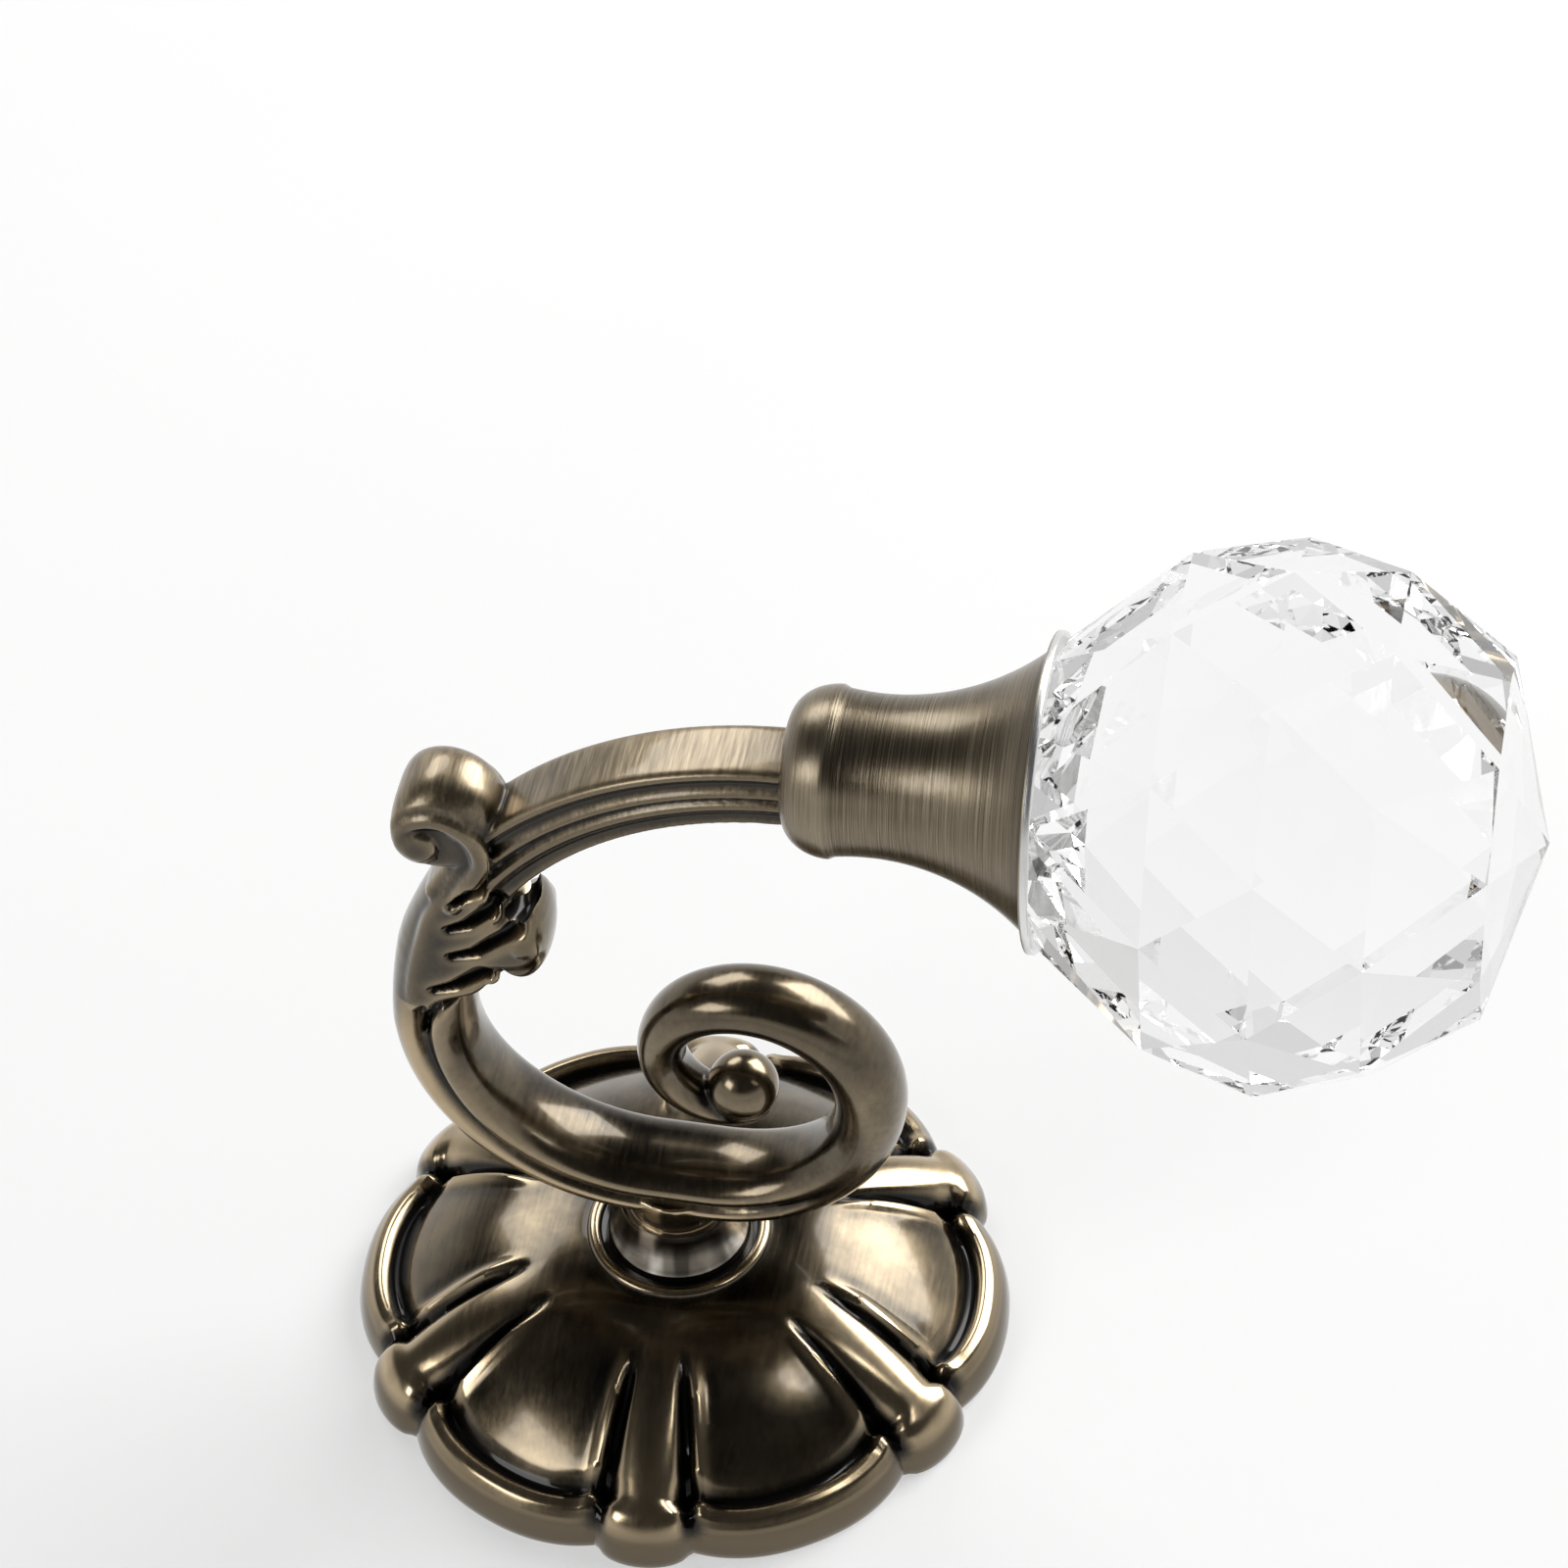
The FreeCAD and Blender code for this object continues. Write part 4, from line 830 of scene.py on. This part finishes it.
# %% [markdown]
# A leaf wraps the bar below the volute like a husk. Its sides are nearly flat, and three deep slits part four
# lobes, which end in small bulbs. The third lobe is far longer than the rest and curls up into a wide cup.
# The husk is a slab with a soft outline here. Its slits are pressed in later, once the casting is one mesh.

# %% The leaf
HUSK = [(-22.9, 55.5), (-21.9, 58.6), (-20.3, 61.4), (-19.2, 62.7), (-17.6, 62.9), (-16.0, 62.6), (-15.4, 61.4),
        (-14.9, 60.6), (-14.5, 59.6), (-14.6, 58.6), (-13.6, 58.0), (-12.2, 57.6), (-11.0, 56.4), (-10.9, 54.6),
        (-12.2, 53.0), (-14.2, 52.4), (-15.4, 52.2), (-15.2, 51.0), (-16.0, 50.0), (-17.2, 48.4), (-19.0, 47.4),
        (-22.0, 45.9), (-23.8, 44.6), (-24.7, 45.6), (-24.2, 50.0)]
BULBS = [(-16.1, 62.0, 3.55, 0.85), (-15.2, 59.7, 3.55, 0.95), (-12.6, 55.6, 2.75, 1.85), (-15.9, 50.9, 3.5, 0.95)]
SLITS = [
    [(-19.5, 57.3), (-17.3, 58.4), (-14.6, 61.1)],
    [(-19.5, 53.5), (-16.8, 54.6), (-13.0, 58.1)],
    [(-21.6, 48.3), (-19.3, 49.3), (-16.4, 51.6)],
    [(-18.9, 61.0), (-16.6, 63.0)],
]
LIP = [[(-16.6, 47.9), (-18.9, 47.0), (-21.3, 45.9), (-22.5, 43.7), (-22.9, 41.6)]]


def husk_ring(y, shrink):
    """The husk's outline at this distance from the middle plane, drawn in by shrink towards its own line."""
    outline = rounded(HUSK, 160)
    ahead = np.roll(outline, -1, axis=0) - np.roll(outline, 1, axis=0)
    ahead /= np.linalg.norm(ahead, axis=1)[:, None]
    inward = np.stack([ahead[:, 1], -ahead[:, 0]], axis=1)
    drawn = outline + inward * shrink
    return [(x, y, z) for x, z in drawn]


husk_rings = [husk_ring(side * y, shrink) for side, y, shrink in (
    (-1, 4.3, 0.9), (-1, 4.15, 0.35), (-1, 3.8, 0.1), (-1, 3.3, 0.0), (-1, 1.8, -0.05),
    (1, 1.8, -0.05), (1, 3.3, 0.0), (1, 3.8, 0.1), (1, 4.15, 0.35), (1, 4.3, 0.9))]
forms.append(link("husk", skin("husk", husk_rings)))
for side in (1, -1):
    for number, (x, z, y, radius) in enumerate(BULBS):
        points = [(x - 0.02, side * y, z, radius), (x, side * y, z, radius)]
        forms.append(finger("bulb_%d" % number, points, 2, 24, 8))
cup = []
cup_turns = np.linspace(0, 2 * math.pi, 48, endpoint=False)
for y in np.linspace(-3.9, 3.9, 40):
    share = math.sqrt(1 - (y / 4.3) ** 2)
    wide, high = 1.4 + 1.5 * share, 1.8 + 3.6 * share
    cup.append([(-13.2 + wide * math.cos(t), y, 55.0 + high * math.sin(t)) for t in cup_turns])
forms.append(link("cup", skin("cup", cup)))
print("leaf made;", len(forms), "forms in all")


# %% [markdown]
# Now the forms become one casting. These helpers join the forms, apply a mesh's modifiers, make a straight
# rod to drill with, and press grooves into the hook's sides along lines.

# %% Casting helpers
def join(name, things):
    with bpy.context.temp_override(active_object=things[0], selected_editable_objects=things):
        bpy.ops.object.join()
    things[0].name = name
    return things[0]


def settled(thing):
    """The object's mesh with its modifiers applied."""
    bpy.context.view_layer.update()
    shown = thing.evaluated_get(bpy.context.evaluated_depsgraph_get())
    mesh = bpy.data.meshes.new_from_object(shown)
    thing.modifiers.clear()
    thing.data = mesh
    return thing


def rod(name, start, way, radius, length):
    ahead = np.array(way, float)
    side = np.cross(ahead, (0, 1, 0))
    side /= np.linalg.norm(side)
    other = np.cross(ahead, side)
    turns = np.linspace(0, 2 * math.pi, 48, endpoint=False)
    circle = [radius * (side * math.cos(t) + other * math.sin(t)) for t in turns]
    rings = [[np.array(start) + ahead * distance + point for point in circle] for distance in (0, length)]
    return link(name, skin(name, rings))


def press_in(mesh, lines, first_half, last_half, depth):
    """Pushes the hook's sides inwards along lines that widen from their first point to their last."""
    count = len(mesh.vertices)
    flat = np.zeros(count * 3)
    mesh.vertices.foreach_get("co", flat)
    place = flat.reshape(-1, 3) / MM
    nearest = np.full(count, 99.0)
    for line in lines:
        for k, (start, end) in enumerate(zip(line, line[1:])):
            start, way = np.array(start), np.array(end) - np.array(start)
            away = place[:, [0, 2]] - start
            share = np.clip((away @ way) / (way @ way), 0, 1)
            half = first_half + (last_half - first_half) * (k + share) / (len(line) - 1)
            nearest = np.minimum(nearest, np.linalg.norm(away - share[:, None] * way, axis=1) / half)
    weight = np.exp(-nearest ** 3) * ease(2.4, 3.2, np.abs(place[:, 1]))
    place[:, 1] -= np.sign(place[:, 1]) * depth * weight
    mesh.vertices.foreach_set("co", (place * MM).ravel())
    mesh.update()
    return int((weight > 0.3).sum())


print("casting helpers ready")


# %% [markdown]
# The remesh rebuilds the union as even small faces, and Smooth rounds the joins. The leaf's slits and the
# line under its lip are pressed in next. The holes are drilled last so that they stay crisp.

# %% Unite the hook
hook = join("hook_cast", forms)
remesh = hook.modifiers.new("unite", "REMESH")
remesh.mode = "VOXEL"
remesh.voxel_size = 0.275 * MM
remesh.use_smooth_shade = True
soften = hook.modifiers.new("soften", "SMOOTH")
soften.factor = 0.5
soften.iterations = 3
settled(hook)
pressed = press_in(hook.data, SLITS, 0.25, 0.75, 1.7) + press_in(hook.data, LIP, 0.45, 0.3, 1.0)
smooth = hook.modifiers.new("smooth", "SMOOTH")
smooth.factor = 0.5
smooth.iterations = 2
settled(hook)
print("united, with", pressed, "points pressed in")

# %% Drill the hook
holes = [
    finger("cup_hollow", [(-13.0, -2.3, 59.0, 1.25), (-12.7, 0.0, 58.7, 1.45), (-13.0, 2.3, 59.0, 1.25)], 9, 24),
    rod("screw_hole", (0, 0, 16.0), (0, 0, 1), 2.55, 6.5),
    rod("stud_hole", BACK - ALONG * 3.9 - UPWARD * ARM_DROP, ALONG, 2.05, 7.0),
]
for hole in holes:
    cut = hook.modifiers.new("drill", "BOOLEAN")
    cut.operation = "DIFFERENCE"
    cut.solver = "EXACT"
    cut.object = hole
settled(hook)
for hole in holes:
    bpy.data.objects.remove(hole)
print("drilled", len(holes), "holes")


# %% [markdown]
# The marks say where the hook is worn, brushed and painted with light and shade: its flat sides are painted
# darker as painted shade, the bead inside the bowl is worn bright, and the faces that look up near the top
# are brushed bare and painted lighter as a painted highlight.

# %% Finish the hook
hook.data.materials.clear()
hook.data.materials.append(CASTING)
smooth_shade(hook.data, 60)
measure_relief(hook.data, 4.0, 5.0, 10)
# Painted shade: faces that look sideways are painted darker, from 40 mm up.
mark(hook.data, "toned", lambda place, normal: abs(normal.y) ** 1.5 * 0.6 * min(1.0, (place.z - 40) / 10))
BOWL_MIDDLE = (-BOWL_LEFT + BOWL_RADIUS, BAR_HEIGHT + BOWL_RADIUS)


def on_bead(place, normal):
    reach = math.hypot(place.x - BOWL_MIDDLE[0], place.z - BOWL_MIDDLE[1]) - BOWL_RADIUS
    inside = place.z < 46 and place.x < 8 and place.z < BOWL_MIDDLE[1] + 4
    return 1.4 - abs(reach - 1.7) * 0.9 if inside and reach > 0 and abs(place.y) > 2 else 0


mark(hook.data, "gilt", on_bead)
# Brushed bare with a painted highlight: faces that look up, above 62 mm, get the lighter brushed colour.
mark(hook.data, "satin", lambda place, normal: (normal.z - 0.1) * 2.5 if place.z > 62 else 0)
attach(hook, "root")
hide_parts("hook_arm")
print("hook:", len(hook.data.polygons), "faces")


# %% [markdown]
# The collar and the socket are turned parts. A lathe profile, as radius and distance along the axis, is
# swept round in one step, and a UV map called `turned` records the turn and the way along for the scratches.

# %% Turned parts
def turned_mesh(name, profile, start, way, count=160):
    """A profile of radius and distance turned round an axis from start along way."""
    ahead = np.array(way, float)
    side = np.array((0.0, 1.0, 0.0))
    other = np.cross(ahead, side)
    turns = [2 * math.pi * k / count for k in range(count)]
    loop = profile if profile[0][0] < 0.01 else profile + profile[:1]
    rings = []
    for radius, distance in loop:
        middle = np.array(start, float) + ahead * distance
        rings.append([middle + radius * (side * math.cos(t) + other * math.sin(t)) for t in turns])
    mesh = skin(name, rings, ends=False, uv="turned")
    work = bmesh.new()
    work.from_mesh(mesh)
    bmesh.ops.remove_doubles(work, verts=work.verts, dist=0.000001)
    work.to_mesh(mesh)
    work.free()
    return link(name, face_out(mesh))


def finish_turned(thing, finish, node):
    thing.data.materials.clear()
    thing.data.materials.append(finish)
    smooth_shade(thing.data, 32)
    measure_relief(thing.data, 4.0, 4.0, 4)
    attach(thing, "root")
    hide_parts(node)
    print(thing.name, len(thing.data.polygons), "faces")


collar_side = spline([(7.1, 0.0), (7.08, 0.6), (6.6, 1.4), (6.15, 2.5), (5.85, 3.8), (5.7, 5.2)], 30)
collar_profile = [(2.55, 0.0), (7.0, 0.0), (7.1, 0.1)] + [tuple(p) for p in collar_side[4:]] + [(2.55, 5.2)]
collar = turned_mesh("collar_turned", collar_profile, (0, 0, 12.0), (0, 0, 1))
finish_turned(collar, COLLAR, "stem_collar")

# %% [markdown]
# The socket is turned as a solid bell first. A square recess for the arm's end and a bore for the stud are
# then cut into its back with exact booleans. Its flat front, behind the ball, was faced after the toning, so
# it is bare: an attribute marks those points, and the finish reads it.

# %% The socket
BODY, FLANGE, LENGTH = 7.95, 14.6, 24.0
shoulder = [(4.55 + 3.4 * math.sin(a), 4.4 - 4.4 * math.cos(a)) for a in np.linspace(0, math.pi / 2, 16)]
FLARE_RADIUS = 22.5


def flare_point(share):
    """A point on the arc that leaves the body level with the axis's line and ends at the mouth."""
    foot, mouth = np.array((BODY, 3.4)), np.array((13.2, 23.2))
    chord = mouth - foot
    half = np.linalg.norm(chord) / 2
    sag = math.sqrt(FLARE_RADIUS ** 2 - half ** 2)
    square = np.array((chord[1], -chord[0])) / (2 * half)
    middle = (foot + mouth) / 2 + square * sag
    first = math.atan2(*(foot - middle)[::-1])
    last = math.atan2(*(mouth - middle)[::-1])
    sweep = (last - first + math.pi) % (2 * math.pi) - math.pi
    angle = first + sweep * share
    return (middle[0] + FLARE_RADIUS * math.cos(angle), middle[1] + FLARE_RADIUS * math.sin(angle))


flare = [point for point in (flare_point(k / 40) for k in range(41)) if point[1] > 4.6]
lip = [(14.35, 23.2), (14.55, 23.28), (14.6, 23.36), (14.6, 23.44), (14.6, 23.8), (14.52, 23.95), (14.4, LENGTH)]
face = [(radius, LENGTH) for radius in (13.0, 9.0, 5.0, 2.0)]
bell = [(0.0002, 0.0), (2.4, 0.0)] + shoulder + flare + lip + face + [(0.0002, LENGTH)]
socket = turned_mesh("socket_turned", bell, BACK, ALONG)
corners = [(-3.5, -3.75), (3.5, -3.75), (3.5, 3.75), (-3.5, 3.75)]
low = BACK - UPWARD * ARM_DROP
recess = [[low + ALONG * d + UPWARD * u + np.array((0, y, 0)) for y, u in corners] for d in (-1.0, 2.4)]
cuts = [link("recess", skin("recess", recess)), rod("bore", low + ALONG * 1.0, ALONG, 2.05, 8.7)]
for tool in cuts:
    cut = socket.modifiers.new("cut", "BOOLEAN")
    cut.operation = "DIFFERENCE"
    cut.solver = "EXACT"
    cut.object = tool
settled(socket)
for tool in cuts:
    bpy.data.objects.remove(tool)
mark(socket.data, "bare", lambda place, normal: np.dot(np.array(place) - BACK, ALONG) > LENGTH - 0.6)
finish_turned(socket, SOCKET, "ball_socket")


# %% [markdown]
# The setting is plain. The floor, which is the wall the holdback is fixed to, is a pale board. Light Path
# tells the rays apart. The camera sees half the board's own colour, which keeps the shadow, and half plain
# white, and only white far away. Mirrors and glass see a board that fades to grey with distance.

# %% The floor
SHOWN = ("Is Camera Ray", "Is Glossy Ray", "Is Transmission Ray")


def plain_floor():
    half = 3.0
    mesh = bpy.data.meshes.new("floor")
    corners = [(-half, -half, 0), (half, -half, 0), (half, half, 0), (-half, half, 0)]
    mesh.from_pydata(corners, [], [(0, 1, 2, 3)])
    floor = link("floor", mesh)
    shader = Shader("pale_floor")
    mottle = shader.noise(shader.place(), 8.0, 3.0, 0.5)
    colour = shader.steps(mottle, [(0.3, (0.9, 0.9, 0.895)), (0.7, (0.93, 0.93, 0.925))])
    shader.set(Base_Color=colour, Roughness=0.9)
    rays = [shader.node("ShaderNodeLightPath", {}, {}, out=name) for name in SHOWN]
    away = shader.node("ShaderNodeVectorMath", {"operation": "LENGTH"}, [shader.place()], out="Value")
    far = ((away - 0.15) * 2.0).clamp()
    seen = rays[0] * (0.5 + far * 0.5) + (rays[1] + rays[2]) * 0.7
    board = shader.steps(away * 2.5, [(0.2, grey(1.0)), (0.42, grey(0.86)), (0.75, grey(0.7))])
    white = shader.mix(rays[0], board, grey(1.0))
    paper = shader.node("ShaderNodeEmission", {}, {"Color": white, "Strength": 1.0})
    board_finish = Wire(shader, shader.finish.outputs[0])
    mixed = shader.node("ShaderNodeMixShader", {}, {0: seen.clamp(), 1: board_finish, 2: paper})
    output = next(node for node in shader.tree.nodes if node.type == "OUTPUT_MATERIAL")
    shader.feed(output.inputs["Surface"], mixed)
    mesh.materials.append(shader.material)
    return floor


plain_floor()
print("floor made")

# %% [markdown]
# The room has pale walls low down and a dark ceiling, with three large soft lamps. The metal so gets pale
# edges, dark faces and a few broad highlights. The camera and the glass see pale walls much further up, which
# keeps the ball clear. Light may bounce more often than usual, since the ball's edge facets need it.

# %% The room and its lamps
def lamp(name, place, aim, wide, high, watts):
    light = bpy.data.lights.new(name, "AREA")
    light.shape = "RECTANGLE"
    light.size, light.size_y, light.energy = wide, high, watts
    thing = bpy.data.objects.new(name, light)
    bpy.context.scene.collection.objects.link(thing)
    away = Vector(place) - Vector(aim)
    thing.matrix_world = Matrix.Translation(place) @ away.to_track_quat("Z", "Y").to_matrix().to_4x4()
    return thing


def room_shades(nodes, links, height, stops):
    ramp = nodes.new("ShaderNodeValToRGB")
    fill_ramp(ramp.color_ramp, stops)
    links.new(height, ramp.inputs[0])
    light = nodes.new("ShaderNodeBackground")
    links.new(ramp.outputs[0], light.inputs["Color"])
    return light.outputs[0]


def room():
    world = bpy.data.worlds.new("studio")
    bpy.context.scene.world = world
    world.use_nodes = True
    nodes, links = world.node_tree.nodes, world.node_tree.links
    ray = nodes.new("ShaderNodeLightPath")
    split = nodes.new("ShaderNodeSeparateXYZ")
    links.new(nodes.new("ShaderNodeTexCoord").outputs["Generated"], split.inputs[0])
    height = split.outputs["Z"]
    dark = room_shades(nodes, links, height, [(0.0, grey(0.85)), (0.2, grey(0.7)), (0.42, grey(0.05))])
    pale = room_shades(nodes, links, height, [(0.0, grey(1.0)), (0.3, grey(0.97)), (0.9, grey(0.5))])
    either = nodes.new("ShaderNodeMath")
    either.operation = "MAXIMUM"
    links.new(ray.outputs["Is Camera Ray"], either.inputs[0])
    links.new(ray.outputs["Is Transmission Ray"], either.inputs[1])
    choose = nodes.new("ShaderNodeMixShader")
    for socket, source in zip(choose.inputs, (either.outputs[0], dark, pale)):
        links.new(source, socket)
    links.new(choose.outputs[0], nodes["World Output"].inputs["Surface"])


room()
centre = (0.02, 0, 0.04)
lamp("key", (0.56, 0.7, 0.68), centre, 0.8, 0.65, 13.0)
lamp("back", (-0.46, 0.66, 0.68), centre, 0.5, 0.4, 3.0)
lamp("front", (-0.62, -0.6, 0.6), centre, 0.45, 0.35, 2.6)
scene = bpy.context.scene
scene.view_settings.view_transform = "Standard"
scene.cycles.max_bounces = 24
scene.cycles.glossy_bounces = 16
scene.cycles.transmission_bounces = 24
print("room and three lamps")
